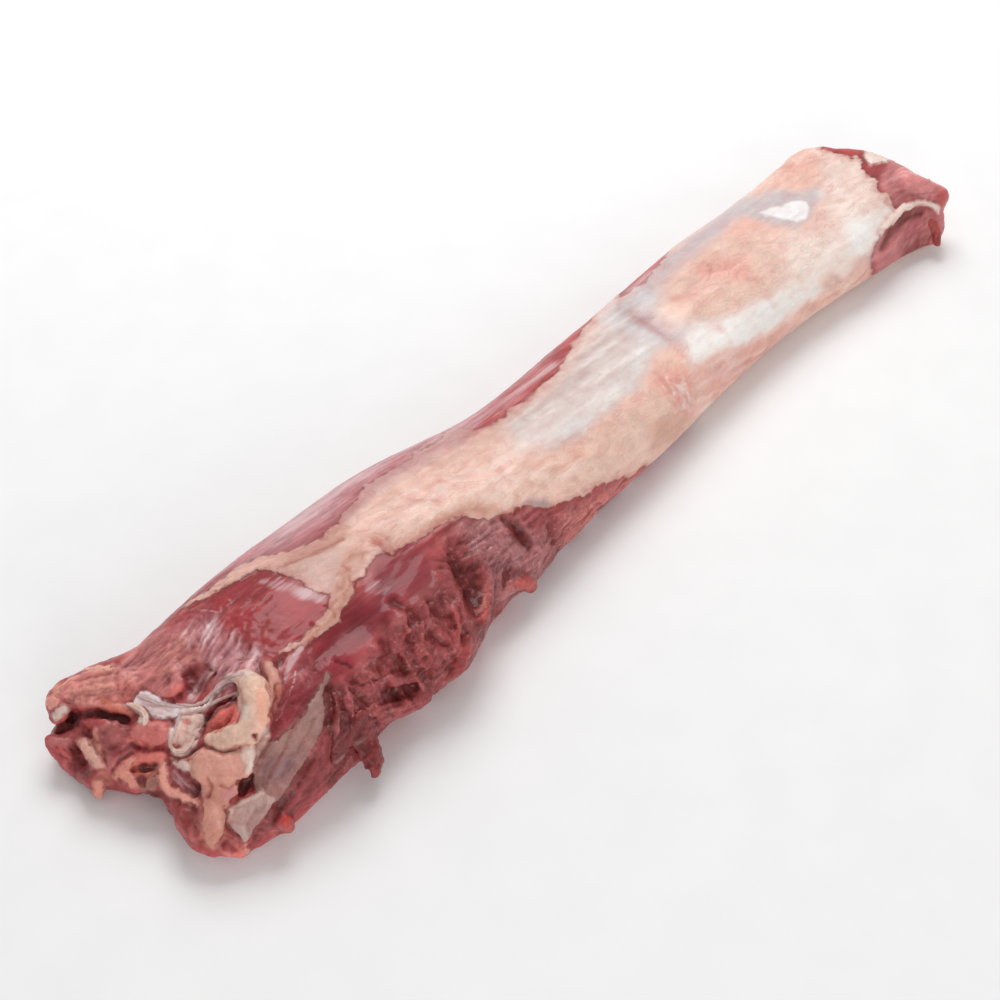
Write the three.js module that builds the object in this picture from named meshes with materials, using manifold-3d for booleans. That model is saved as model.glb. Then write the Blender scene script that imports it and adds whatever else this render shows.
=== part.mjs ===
// A whole boneless wild boar ribeye, raw, lying fat side up on its rib side.
// One piece of meat, so one solid. Units are millimetres, +Z is up.
// X runs along the loin from the ragged blade end (-X) to the clean rump end (+X).
// The torn flank faces -Y ("front") and the chine side faces +Y ("back").
// The solid is a loft of rounded sections with lumps and pits pressed into it,
// and flaps, folds and torn strips joined on at the blade end and along the flank.
import * as THREE from "three";
import Module from "manifold-3d";
import { mergeVertices } from "three/addons/utils/BufferGeometryUtils.js";

// ---- Driving dimensions ----
const LENGTH = 640; // between the nominal ends, before they are cut aslant
const RINGS = 84; // sections along the length
const SIDES = 40; // points around a section
const BLADE_FINENESS = 0.27; // rings stand this share closer at the blade end, and wider at the other
const END_ROUND = 9; // radius of the edge around each cut end
const CAP_RINGS = 4; // rings that fill each cut end
const CAP_CORE = 0.25; // size of the innermost of them, as a share of the section

// Widths are two edges, because the loin isn't straight: front at -Y and back at +Y.
const SECTIONS = [
  { at: -320, front: -62, back: 54, height: 18 },
  { at: -306, front: -66, back: 58, height: 27 },
  { at: -290, front: -68, back: 58, height: 38 },
  { at: -270, front: -69, back: 56, height: 50 },
  { at: -245, front: -70, back: 55, height: 59 },
  { at: -205, front: -69, back: 57, height: 62 },
  { at: -160, front: -68, back: 57, height: 61 },
  { at: -115, front: -58, back: 57, height: 58 },
  { at: -70, front: -54, back: 52, height: 54 },
  { at: -30, front: -49, back: 44, height: 51 },
  { at: 10, front: -46, back: 44, height: 49 },
  { at: 50, front: -44, back: 47, height: 48 },
  { at: 90, front: -40, back: 49, height: 47 },
  { at: 130, front: -37, back: 52, height: 46 },
  { at: 175, front: -36, back: 54, height: 46 },
  { at: 215, front: -38, back: 52, height: 46 },
  { at: 250, front: -42, back: 53, height: 45 },
  { at: 285, front: -45, back: 55, height: 44 },
  { at: 320, front: -53, back: 52, height: 43 },
];
const WIDEST_AT = 0.4; // share of the height where a section is widest
const FOOT_SINK = 1.25; // how far the lower half would pass the table, which cuts it flat
const SIDE_POWER = 2.3; // superellipse powers: 2 is an ellipse, more is boxier
const TOP_POWER = 2.5;
const FOOT_POWER = 3;

// Neither end is cut square: how far along X each end is from its nominal place, across the loin.
// reach is how far along the loin the move fades out.
const ENDS = {
  blade: { reach: 60, edge: [[-75, 16], [-60, 13], [-42, 7], [-20, 11], [0, 8], [20, -1], [50, 0], [70, 5]] },
  rump: { reach: 75, edge: [[-60, 5], [-40, 3], [5, 2], [23, -3], [40, -16], [50, -28], [62, -42]] },
};

// Lumps and hollows pressed into the skin. around is degrees about the section's middle:
// 0 at the front, 90 on top and 180 at the back. up is the height of the lump, below 0 for a hollow.
const RELIEF = [
  { name: "fat ridge", at: -175, around: 76, long: 60, wide: 7, up: 2.5 },
  { name: "fat branch", at: -215, around: 112, long: 45, wide: 6, up: 1.6 },
  { name: "rib muscle", at: -205, around: 95, long: 45, wide: 14, up: 2 },
  { name: "saddle", at: -62, around: 130, long: 26, wide: 26, up: -2.5 },
  { name: "blade hollow", at: -262, around: 112, long: 18, wide: 22, up: -4 },
  { name: "eye swell", at: 20, around: 78, long: 70, wide: 30, up: 2.2 },
  { name: "cross dent", at: 92, around: 96, long: 9, wide: 40, up: -2.4 },
  { name: "rump swell", at: 165, around: 70, long: 42, wide: 28, up: 1.8 },
  { name: "tail dent", at: 232, around: 60, long: 14, wide: 25, up: -1.6 },
  { name: "pale hollow", at: 212, around: 118, long: 24, wide: 16, up: -1.6 },
  { name: "rump recess", at: 290, around: 14, long: 22, wide: 17, up: -6 },
  { name: "rump lip", at: 288, around: 48, long: 30, wide: 10, up: 2.5 },
  { name: "rump foot", at: 296, around: -20, long: 26, wide: 14, up: 3 },
  { name: "flank bulge", at: -146, around: 4, long: 26, wide: 26, up: 7 },
  { name: "flank dent", at: -112, around: 22, long: 12, wide: 20, up: -5 },
  { name: "flank pocket", at: -189, around: 12, long: 10, wide: 12, up: -9 },
  { name: "waist dent", at: -92, around: 44, long: 10, wide: 16, up: -4 },
  { name: "blade foot", at: -286, around: -18, long: 46, wide: 16, up: 6 },
];
// The torn flank: pits scattered over it, with the depth and size that each may have.
const TORN = { from: -235, to: -75, low: -12, high: 56, pits: 26, deep: [1.5, 4.5], size: [5, 11], seed: 7 };

// Pieces that stand out from the body: each follows a path of [x, y, z] with its two ends rounded off,
// and is an oval across it, wide in the level direction and thick in the other.
const STRIPS = [
  { name: "blade flap", wide: 38, thick: 14, path: [[-262, 36, 36], [-280, 38, 34], [-297, 39, 31], [-313, 40, 27]] },
  { name: "flap lip", wide: 15, thick: 13, path: [[-268, 48, 30], [-288, 56, 30], [-305, 60, 29], [-319, 54, 28]] },
  { name: "back rib end", wide: 30, thick: 23, path: [[-285, 44, 12], [-305, 46, 12], [-324, 43, 11]] },
  { name: "middle rib end", wide: 30, thick: 25, path: [[-280, 18, 14], [-303, 21, 14], [-325, 24, 12]] },
  { name: "front tongue", wide: 30, thick: 13, path: [[-278, -2, 22], [-298, 0, 18], [-318, 3, 13]] },
  { name: "red band", wide: 17, thick: 15, path: [[-282, -26, 26], [-303, -34, 17], [-308, -48, 9], [-303, -62, 7]] },
  { name: "fat mass", wide: 30, thick: 18, path: [[-262, -30, 42], [-286, -42, 28], [-301, -53, 14], [-306, -61, 8]] },
  {
    name: "fat roll",
    wide: 14,
    thick: 13,
    path: [[-264, 2, 49], [-251, -9, 55], [-250, -25, 55], [-258, -37, 48], [-272, -36, 43], [-284, -26, 38]],
  },
  { name: "skin flap", wide: 22, thick: 9, path: [[-214, -40, 46], [-246, -54, 38], [-274, -62, 25], [-296, -64, 10]] },
  { name: "rib tag", wide: 9, thick: 9, path: [[-312, 16, 12], [-319, 19, 7], [-325, 18, 4.6]] },
  { name: "hanging strip", wide: 9, thick: 8, path: [[-204, -52, 20], [-216, -64, 17], [-223, -74, 10], [-227, -81, 5]] },
  { name: "flank tag", wide: 8, thick: 7, path: [[-82, -42, 14], [-80, -49, 9], [-78, -54, 5]] },
  { name: "skin tag", wide: 8, thick: 8, path: [[-268, -60, 9], [-273, -66, 7], [-275, -70, 5]] },
  { name: "rump tag", wide: 9, thick: 8, path: [[294, -40, 12], [303, -48, 9], [309, -53, 6]] },
];
const STRIP_SIDES = 8;
const STRIP_RINGS = 7;
const STRIP_START = 0.35; // how far the first ring is from a strip's end, in ring steps
const STRIP_BLUNTNESS = 6; // how full a strip stays towards its ends
const FOOT_GAP = 0.3; // strips stay this far above the table, so that the foot stays the one flat face

// ---- Small helpers ----
const clamp = (v, low, high) => Math.min(high, Math.max(low, v));
const fade = (v) => clamp(v, 0, 1) ** 2; // eases in from nothing
const signedPower = (v, p) => Math.sign(v) * Math.abs(v) ** p;
const bell = (d) => Math.exp(-d * d);

// A linear congruential generator, which gives the same numbers from 0 to 1 on every run.
function randomFrom(seed) {
  let state = seed;
  return () => {
    state = (state * 1664525 + 1013904223) >>> 0;
    return state / 2 ** 32;
  };
}

// ---- Body ----
const sectionCurve = new THREE.CubicInterpolant(
  SECTIONS.map((s) => s.at),
  SECTIONS.flatMap((s) => [s.front, s.back, s.height]),
  3,
);

// The section's size at x. core is the height of its middle, where it is widest.
function sectionAt(x) {
  const [front, back, height] = sectionCurve.evaluate(clamp(x, -LENGTH / 2, LENGTH / 2));
  return { middle: (front + back) / 2, half: (back - front) / 2, height, core: WIDEST_AT * height };
}

// The scattered pits, in the same form as the named lumps and hollows.
function tornPits() {
  const random = randomFrom(TORN.seed);
  const between = ([low, high]) => low + (high - low) * random();
  return Array.from({ length: TORN.pits }, () => ({
    at: between([TORN.from, TORN.to]),
    around: between([TORN.low, TORN.high]),
    long: between(TORN.size),
    wide: between(TORN.size),
    up: -between(TORN.deep),
  }));
}

const reliefs = [...RELIEF, ...tornPits()];

// How far the lumps and hollows move the skin outwards.
function reliefAt(x, around) {
  return reliefs.reduce(
    (sum, r) => sum + r.up * bell((x - r.at) / r.long) * bell((around - r.around) / r.wide),
    0,
  );
}

// An end's outline as a smooth function of Y.
function endCurve({ edge }) {
  const curve = new THREE.CubicInterpolant(
    edge.map(([y]) => y),
    edge.map(([, move]) => move),
    1,
  );
  return (y) => curve.evaluate(clamp(y, edge[0][0], edge.at(-1)[0]))[0];
}

const bladeEdge = endCurve(ENDS.blade);
const rumpEdge = endCurve(ENDS.rump);

// How far the ends' outlines move a point along X.
function endShift(x, y) {
  const bladeShare = fade(1 - (x + LENGTH / 2) / ENDS.blade.reach);
  const rumpShare = fade(1 - (LENGTH / 2 - x) / ENDS.rump.reach);
  return bladeShare * bladeEdge(y) + rumpShare * rumpEdge(y);
}

// A point of the skin. turn goes round the section from the back, over the top.
// shrink takes it towards the section's middle, to round and fill an end.
function skinPoint(x, turn, shrink) {
  const { middle, half, height, core } = sectionAt(x);
  const across = signedPower(Math.cos(turn), 2 / SIDE_POWER);
  const rise = Math.sin(turn);
  const z =
    rise >= 0
      ? core + (height - core) * rise ** (2 / TOP_POWER)
      : core - FOOT_SINK * core * (-rise) ** (2 / FOOT_POWER);
  const out = new THREE.Vector2(across * half, z - core);
  const around = 180 - THREE.MathUtils.radToDeg(Math.atan2(out.y, out.x));
  out.setLength(out.length() + reliefAt(x, around > 270 ? around - 360 : around));
  out.multiplyScalar(shrink);
  const y = middle + out.x;
  return new THREE.Vector3(x + endShift(x, y), y, Math.max(0, core + out.y));
}

// The rings from end to end: rounding and filling rings, body rings, and the same again.
function ringPlan() {
  const end = LENGTH / 2;
  const cap = (side) =>
    Array.from({ length: CAP_RINGS }, (_, i) => {
      const angle = (Math.PI / 2) * ((i + 1) / CAP_RINGS);
      return { x: side * (end - END_ROUND * (1 - Math.sin(angle))), shrink: 1 - (1 - CAP_CORE) * (1 - Math.cos(angle)) };
    });
  const body = Array.from({ length: RINGS }, (_, i) => {
    const u = i / (RINGS - 1);
    const eased = u * (1 - BLADE_FINENESS) + BLADE_FINENESS * u * u;
    return { x: -end + END_ROUND + (LENGTH - 2 * END_ROUND) * eased, shrink: 1 };
  });
  return [...cap(-1).reverse(), ...body, ...cap(1)];
}

// A closed skin over rings of points, with a point in the middle of each end.
function closedLoft(rings) {
  const sides = rings[0].length;
  const points = rings.flat();
  const faces = [];
  for (let i = 0; i + 1 < rings.length; i++)
    for (let j = 0; j < sides; j++) {
      const a = i * sides + j;
      const b = i * sides + ((j + 1) % sides);
      faces.push(a, b, a + sides, b, b + sides, a + sides);
    }
  const centre = (ring) => ring.reduce((sum, p) => sum.add(p), new THREE.Vector3()).divideScalar(sides);
  const last = points.length - sides;
  points.push(centre(rings[0]), centre(rings.at(-1)));
  for (let j = 0; j < sides; j++) {
    const next = (j + 1) % sides;
    faces.push(next, j, points.length - 2, last + j, last + next, points.length - 1);
  }
  return new THREE.BufferGeometry().setFromPoints(points).setIndex(faces);
}

function bodyGeometry() {
  const rings = ringPlan().map(({ x, shrink }) =>
    Array.from({ length: SIDES }, (_, j) => skinPoint(x, (2 * Math.PI * j) / SIDES, shrink)),
  );
  return closedLoft(rings);
}

// ---- Strips ----
// An oval swept along a strip's path.
function stripGeometry({ wide, thick, path }) {
  const curve = new THREE.CatmullRomCurve3(path.map((p) => new THREE.Vector3(...p)));
  const up = new THREE.Vector3(0, 0, 1);
  const rings = Array.from({ length: STRIP_RINGS }, (_, i) => {
    const share = (i + STRIP_START) / (STRIP_RINGS - 1 + 2 * STRIP_START);
    const middle = curve.getPointAt(share);
    const along = curve.getTangentAt(share);
    const side = new THREE.Vector3().crossVectors(up, along).normalize();
    const lift = new THREE.Vector3().crossVectors(along, side);
    const round = Math.sqrt(1 - (2 * share - 1) ** STRIP_BLUNTNESS);
    return Array.from({ length: STRIP_SIDES }, (_, j) => {
      const turn = (2 * Math.PI * j) / STRIP_SIDES;
      const point = middle
        .clone()
        .addScaledVector(side, (wide / 2) * round * Math.cos(turn))
        .addScaledVector(lift, (thick / 2) * round * Math.sin(turn));
      point.z = Math.max(FOOT_GAP, point.z);
      return point;
    });
  });
  return closedLoft(rings);
}

// ---- Joining ----
const wasm = await Module();
wasm.setup();

// A closed geometry as a solid that can be joined.
function solidFrom(geometry) {
  const merged = mergeVertices(geometry, 1e-4);
  const made = new wasm.Manifold(
    new wasm.Mesh({
      numProp: 3,
      vertProperties: merged.attributes.position.array,
      triVerts: new Uint32Array(merged.index.array),
    }),
  );
  if (made.volume() <= 0) throw new Error("a piece is inside out");
  return made;
}

// The joined solid back as a geometry.
function geometryFrom(solid) {
  const { numProp, vertProperties, triVerts } = solid.getMesh();
  const geometry = new THREE.BufferGeometry();
  geometry.setAttribute("position", new THREE.BufferAttribute(vertProperties, numProp));
  geometry.setIndex(new THREE.BufferAttribute(triVerts, 1));
  geometry.computeVertexNormals();
  return geometry;
}

const joined = STRIPS.reduce(
  (whole, strip) => whole.add(solidFrom(stripGeometry(strip))),
  solidFrom(bodyGeometry()),
);

// The origin is under the middle of the piece, on the table.
const geometry = geometryFrom(joined);
geometry.computeBoundingBox();
const { min, max } = geometry.boundingBox;
geometry.translate(-(min.x + max.x) / 2, -(min.y + max.y) / 2, -min.z);

const rawMeat = new THREE.MeshStandardMaterial({ color: 0xc58a7e, roughness: 0.42, metalness: 0 });
const ribeye = new THREE.Mesh(geometry, rawMeat);
ribeye.name = "ribeye";

const part = new THREE.Group();
part.add(ribeye);

export default part;
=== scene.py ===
"""A whole raw wild boar ribeye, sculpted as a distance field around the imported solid.

Lengths are millimetres until a mesh is made. Places that are taken from the photograph are pixels
of its 1000 x 1000 frame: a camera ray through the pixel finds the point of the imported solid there.
The blade end points to -X, the rump end to +X, and the torn flank faces -Y.
"""

import math
from types import SimpleNamespace

import bpy
import numpy as np
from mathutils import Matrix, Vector
from mathutils.bvhtree import BVHTree


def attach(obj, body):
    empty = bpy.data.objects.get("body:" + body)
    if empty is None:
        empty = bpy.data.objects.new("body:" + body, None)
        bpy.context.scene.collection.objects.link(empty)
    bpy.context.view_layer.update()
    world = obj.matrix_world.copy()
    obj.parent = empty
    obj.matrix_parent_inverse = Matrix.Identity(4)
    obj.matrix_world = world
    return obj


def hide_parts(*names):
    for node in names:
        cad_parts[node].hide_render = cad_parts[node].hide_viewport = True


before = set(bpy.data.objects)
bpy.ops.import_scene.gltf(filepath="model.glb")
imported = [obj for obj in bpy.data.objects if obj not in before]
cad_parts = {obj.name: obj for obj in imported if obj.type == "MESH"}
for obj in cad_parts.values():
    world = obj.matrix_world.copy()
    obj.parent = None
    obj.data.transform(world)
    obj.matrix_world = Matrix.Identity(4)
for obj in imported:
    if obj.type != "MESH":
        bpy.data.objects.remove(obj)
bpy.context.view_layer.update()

MM = 0.001
FRAME_PX = 1000
SEED = 11

# ---------------------------------------------------------------- camera
CAMERA_AZIMUTH = -48.48
CAMERA_ELEVATION = 45.0
CAMERA_DISTANCE = 1278.6
CAMERA_FIELD = 24.0
CAMERA_TARGET = np.array([-51.0, 0.82, 20.0])
SENSOR_MM = 36.0
CAMERA_CLIP = 20.0  # metres

_turn, _rise = math.radians(CAMERA_AZIMUTH), math.radians(CAMERA_ELEVATION)
TO_CAMERA = np.array([
    math.sin(_turn) * math.cos(_rise),
    -math.cos(_turn) * math.cos(_rise),
    math.sin(_rise),
])
RIGHT = np.cross(-TO_CAMERA, [0, 0, 1])
RIGHT /= np.linalg.norm(RIGHT)
UP = np.cross(RIGHT, -TO_CAMERA)
EYE = CAMERA_TARGET + CAMERA_DISTANCE * TO_CAMERA
FOCAL_PX = FRAME_PX / 2 / math.tan(math.radians(CAMERA_FIELD / 2))


def make_camera():
    """The camera at the photograph's viewing angle."""
    data = bpy.data.cameras.new("camera")
    data.sensor_width = SENSOR_MM
    data.lens = SENSOR_MM / 2 / math.tan(math.radians(CAMERA_FIELD / 2))
    data.clip_end = CAMERA_CLIP
    camera = bpy.data.objects.new("camera", data)
    bpy.context.scene.collection.objects.link(camera)
    camera.location = EYE * MM
    camera.rotation_euler = Vector(-TO_CAMERA).to_track_quat("-Z", "Y").to_euler()
    bpy.context.scene.camera = camera


def to_pixels(points):
    """Where points fall in the photograph's frame."""
    offset = points - EYE
    depth = offset @ -TO_CAMERA
    across = FRAME_PX / 2 + FOCAL_PX * (offset @ RIGHT) / depth
    down = FRAME_PX / 2 - FOCAL_PX * (offset @ UP) / depth
    return np.stack([across, down], -1)


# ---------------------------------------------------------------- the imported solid
SEARCH_ROOM = 420.0  # how far before and behind the target a ray past the outline is followed
SEARCH_STEP = 3.0


def read_solid():
    """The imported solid's points in millimetres, and its triangles."""
    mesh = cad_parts["ribeye"].data
    points = np.empty(len(mesh.vertices) * 3)
    mesh.vertices.foreach_get("co", points)
    mesh.calc_loop_triangles()
    triangles = np.empty(len(mesh.loop_triangles) * 3, np.int32)
    mesh.loop_triangles.foreach_get("vertices", triangles)
    return points.reshape(-1, 3) / MM, triangles.reshape(-1, 3)


SOLID_POINTS, SOLID_TRIANGLES = read_solid()
SOLID = BVHTree.FromPolygons(SOLID_POINTS.tolist(), SOLID_TRIANGLES.tolist())
BOX_LOW, BOX_HIGH = SOLID_POINTS.min(0), SOLID_POINTS.max(0)


def pixel_ray(u, v):
    """The unit vector from the camera through a pixel."""
    ray = -TO_CAMERA + RIGHT * (u - FRAME_PX / 2) / FOCAL_PX - UP * (v - FRAME_PX / 2) / FOCAL_PX
    return ray / np.linalg.norm(ray)


def on_solid(u, v, lift=0.0):
    """The point of the solid seen at a pixel, moved lift towards the camera along the same ray.
    Just outside the outline it is the point of the ray that passes closest to the solid."""
    ray = pixel_ray(u, v)
    hit = SOLID.ray_cast(EYE.tolist(), ray.tolist())
    if hit[0] is not None:
        distance = hit[3]
    else:
        reach = np.arange(CAMERA_DISTANCE - SEARCH_ROOM, CAMERA_DISTANCE + SEARCH_ROOM, SEARCH_STEP)
        gaps = [SOLID.find_nearest((EYE + t * ray).tolist())[3] for t in reach]
        distance = reach[int(np.argmin(gaps))]
    return EYE + (distance - lift) * ray


# ---------------------------------------------------------------- noise
_random = np.random.default_rng(SEED)
LATTICE = 32
LATTICES = 8
LAYER_SHIFT = 7.3  # cells between the layers
ROUGH_FADE = 1.7  # each finer layer is weaker by this
CREST_SCALE, CREST_FADE, CREST_SUM = 1.9, 1.8, 1.6  # the same for crests: finer, weaker, in all
_lattice = _random.uniform(-1, 1, (LATTICES, LATTICE, LATTICE, LATTICE))


def noise(points, size, layer=0):
    """Smooth noise from -1 to 1 with features of that size. size may differ along X, Y and Z."""
    q = points / np.asarray(size, float) + LAYER_SHIFT * layer
    cell = np.floor(q).astype(int)
    f = q - cell
    f = f * f * (3 - 2 * f)
    table = _lattice[layer % LATTICES]
    total = np.zeros(len(points))
    for corner in range(8):
        step = np.array([corner & 1, corner >> 1 & 1, corner >> 2])
        index = (cell + step) % LATTICE
        weight = np.prod(np.where(step, f, 1 - f), axis=1)
        total += weight * table[index[:, 0], index[:, 1], index[:, 2]]
    return total


def rough(points, size, octaves=3, layer=0):
    """Noise with finer and finer layers over it."""
    size = np.asarray(size, float)
    return sum(noise(points, size / 2**i, layer + i) / ROUGH_FADE**i for i in range(octaves))


def ridged(points, size, octaves=3, layer=0):
    """Sharp crests and round hollows from about -1 to 1, as torn fibres have."""
    size = np.asarray(size, float)
    total = np.zeros(len(points))
    for i in range(octaves):
        crest = 1 - 3 * np.abs(noise(points, size / CREST_SCALE**i, layer + i))
        total += crest / CREST_FADE**i
    return total / CREST_SUM


def wander(points, size, octaves, layers):
    """Two rough noises side by side, to shift pixels by."""
    return np.stack([rough(points, size, octaves, layer) for layer in layers], -1)


def smooth(x, low, high):
    """0 below low, 1 above high, and an even curve between."""
    t = np.clip((x - low) / (high - low), 0, 1)
    return t * t * (3 - 2 * t)


# ---------------------------------------------------------------- clay: the distance field
COARSE_STEP = 4.0
MARGIN = 10.0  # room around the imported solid's box
ROOM_BELOW = 4.0
STEP_Y = 2.0
STEP_Z = 1.8
# The step along X, as (X, step).
STEPS_X = [(-340.0, 1.5), (-215.0, 1.5), (-170.0, 2.1), (-70.0, 2.4), (0.0, 3.2), (340.0, 3.2)]
FLOOR_GAP = 0.02  # between the underside and Z = 0
TINY = 1e-9


def grid_axes():
    """X, Y and Z of the fine grid. X is finer towards the blade end."""
    xs = [BOX_LOW[0] - MARGIN]
    while xs[-1] < BOX_HIGH[0] + MARGIN:
        xs.append(xs[-1] + float(np.interp(xs[-1], *np.array(STEPS_X).T)))
    ys = np.arange(BOX_LOW[1] - MARGIN, BOX_HIGH[1] + MARGIN, STEP_Y)
    zs = np.arange(-ROOM_BELOW, BOX_HIGH[2] + MARGIN, STEP_Z)
    return np.array(xs), ys, zs


def solid_distance(xs, ys, zs):
    """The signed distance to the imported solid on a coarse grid: below 0 inside."""
    field = np.empty((len(xs), len(ys), len(zs)))
    for i, x in enumerate(xs):
        for j, y in enumerate(ys):
            heights = []
            z = zs[0] - COARSE_STEP
            while (hit := SOLID.ray_cast((x, y, z), (0, 0, 1)))[0] is not None:
                heights.append(hit[0].z)
                z = hit[0].z + 1e-3
            for k, z in enumerate(zs):
                inside = sum(h < z for h in heights) % 2
                gap = SOLID.find_nearest((x, y, z))[3]
                field[i, j, k] = -gap if inside else gap
    return field


def spline_weights(coarse, fine):
    """Cubic B-spline weights from a coarse axis to a fine one, which smooth the facets away."""
    t = (fine - coarse[0]) / COARSE_STEP
    base = np.clip(np.floor(t).astype(int), 1, len(coarse) - 3)
    f = t - base
    weights = [(1 - f) ** 3, 3 * f**3 - 6 * f**2 + 4, -3 * f**3 + 3 * f**2 + 3 * f + 1, f**3]
    matrix = np.zeros((len(fine), len(coarse)))
    for offset, w in enumerate(weights):
        matrix[np.arange(len(fine)), base - 1 + offset] += w / 6
    return matrix


class Clay:
    """A distance field that lumps are joined to and cut from."""

    def __init__(self):
        self.xs, self.ys, self.zs = grid_axes()
        room = 3 * COARSE_STEP
        axes = (self.xs, self.ys, self.zs)
        coarse = [np.arange(a[0] - room, a[-1] + 2 * room, COARSE_STEP) for a in axes]
        field = solid_distance(*coarse)
        for axis, fine in enumerate(axes):
            weights = spline_weights(coarse[axis], fine)
            field = np.moveaxis(np.tensordot(weights, field, (1, axis)), 0, axis)
        self.field = field
        self.hollows = []

    def shape(self, chain, flat, blend, cut):
        """Joins or cuts a chain of (point, radius), with smooth corners of size blend."""
        points = np.array([p for p, _ in chain])
        radii = np.array([r for _, r in chain])
        reach = radii.max() + 3 * blend + 2
        low, high = points.min(0) - reach, points.max(0) + reach
        axes = (self.xs, self.ys, self.zs)
        ranges = [slice(*np.searchsorted(axis, (lo, hi))) for axis, lo, hi in zip(axes, low, high)]
        grids = np.meshgrid(*[axis[r] for axis, r in zip(axes, ranges)], indexing="ij")
        if not grids[0].size:
            return
        spots = np.stack([g.ravel() for g in grids], -1)
        distance = chain_distance(spots, points, radii, flat).reshape(grids[0].shape)
        block = self.field[tuple(ranges)]
        other = -distance if cut else distance
        sign = -1 if cut else 1
        mix = np.clip(0.5 + 0.5 * sign * (block - other) / blend, 0, 1)
        joined = block + (other - block) * mix - sign * blend * mix * (1 - mix)
        self.field[tuple(ranges)] = joined
        if cut:
            self.hollows.append((points, radii))

    def mesh(self):
        """Surface nets: one point for each cell that the surface crosses."""
        field = np.maximum(self.field, (FLOOR_GAP - self.zs)[None, None, :])
        return surface_nets(field, (self.xs, self.ys, self.zs))


def chain_distance(spots, points, radii, flat=None):
    """Distance to a chain of round cones. flat is (normal, ratio) to press the section flat."""
    best = np.full(len(spots), 1e9)
    if len(points) == 1:
        points, radii = np.repeat(points, 2, 0), np.repeat(radii, 2)
    for a, b, ra, rb in zip(points[:-1], points[1:], radii[:-1], radii[1:]):
        along = b - a
        t = np.clip((spots - a) @ along / max(along @ along, TINY), 0, 1)
        offset = spots - a - t[:, None] * along
        distance = np.linalg.norm(offset, axis=1) - (ra + (rb - ra) * t)
        if flat is not None:
            normal, ratio = flat
            true = np.linalg.norm(offset, axis=1)
            pressed = offset + (ratio - 1) * (offset @ normal)[:, None] * normal
            length = np.linalg.norm(pressed, axis=1)
            distance = (length - (ra + (rb - ra) * t)) * true / np.maximum(length, 1e-6)
        best = np.minimum(best, distance)
    return best


def surface_nets(field, axes):
    """Points and quads of the surface where the field is 0, and each point's cell."""
    inside = field < 0
    shape = np.array(field.shape)
    sums = np.zeros((int(np.prod(shape)), 4), np.float32)
    strides = np.array([shape[1] * shape[2], shape[2], 1])
    quads = []
    for axis in range(3):
        near, far = [slice(None)] * 3, [slice(None)] * 3
        near[axis], far[axis] = slice(None, -1), slice(1, None)
        index = np.argwhere(inside[tuple(near)] != inside[tuple(far)])
        others = [a for a in range(3) if a != axis]
        index = index[(index[:, others] > 0).all(1) & (index[:, others] < shape[others] - 1).all(1)]
        step = np.zeros(3, int)
        step[axis] = 1
        here = field[tuple(index.T)]
        beyond = field[tuple((index + step).T)]
        share = here / (here - beyond)
        place = np.stack([axes[a][index[:, a]] for a in range(3)], -1)
        place[:, axis] += share * (axes[axis][index[:, axis] + 1] - axes[axis][index[:, axis]])
        one, two = strides[others[0]], strides[others[1]]
        flat = index @ strides
        around = [flat, flat - one, flat - one - two, flat - two]
        for cells in around:
            for column in range(3):
                sums[:, column] += np.bincount(cells, place[:, column], len(sums)).astype(np.float32)
            sums[:, 3] += np.bincount(cells, minlength=len(sums)).astype(np.float32)
        quad = np.stack(around, -1)
        flip = (here < 0) != (axis == 1)
        quad[~flip] = quad[~flip][:, ::-1]
        quads.append(quad)
    used = np.flatnonzero(sums[:, 3] > 0)
    renumber = np.full(len(sums), -1)
    renumber[used] = np.arange(len(used))
    points = (sums[used, :3] / sums[used, 3:]).astype(float)
    return points, renumber[np.concatenate(quads)], np.stack(np.unravel_index(used, shape), -1)


# ---------------------------------------------------------------- sculpting by pixel
def chain_at(spots):
    """[(u, v, lift, radius), ...] as a chain of points and radii on the solid."""
    return [(on_solid(u, v, lift), radius) for u, v, lift, radius in spots]


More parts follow.
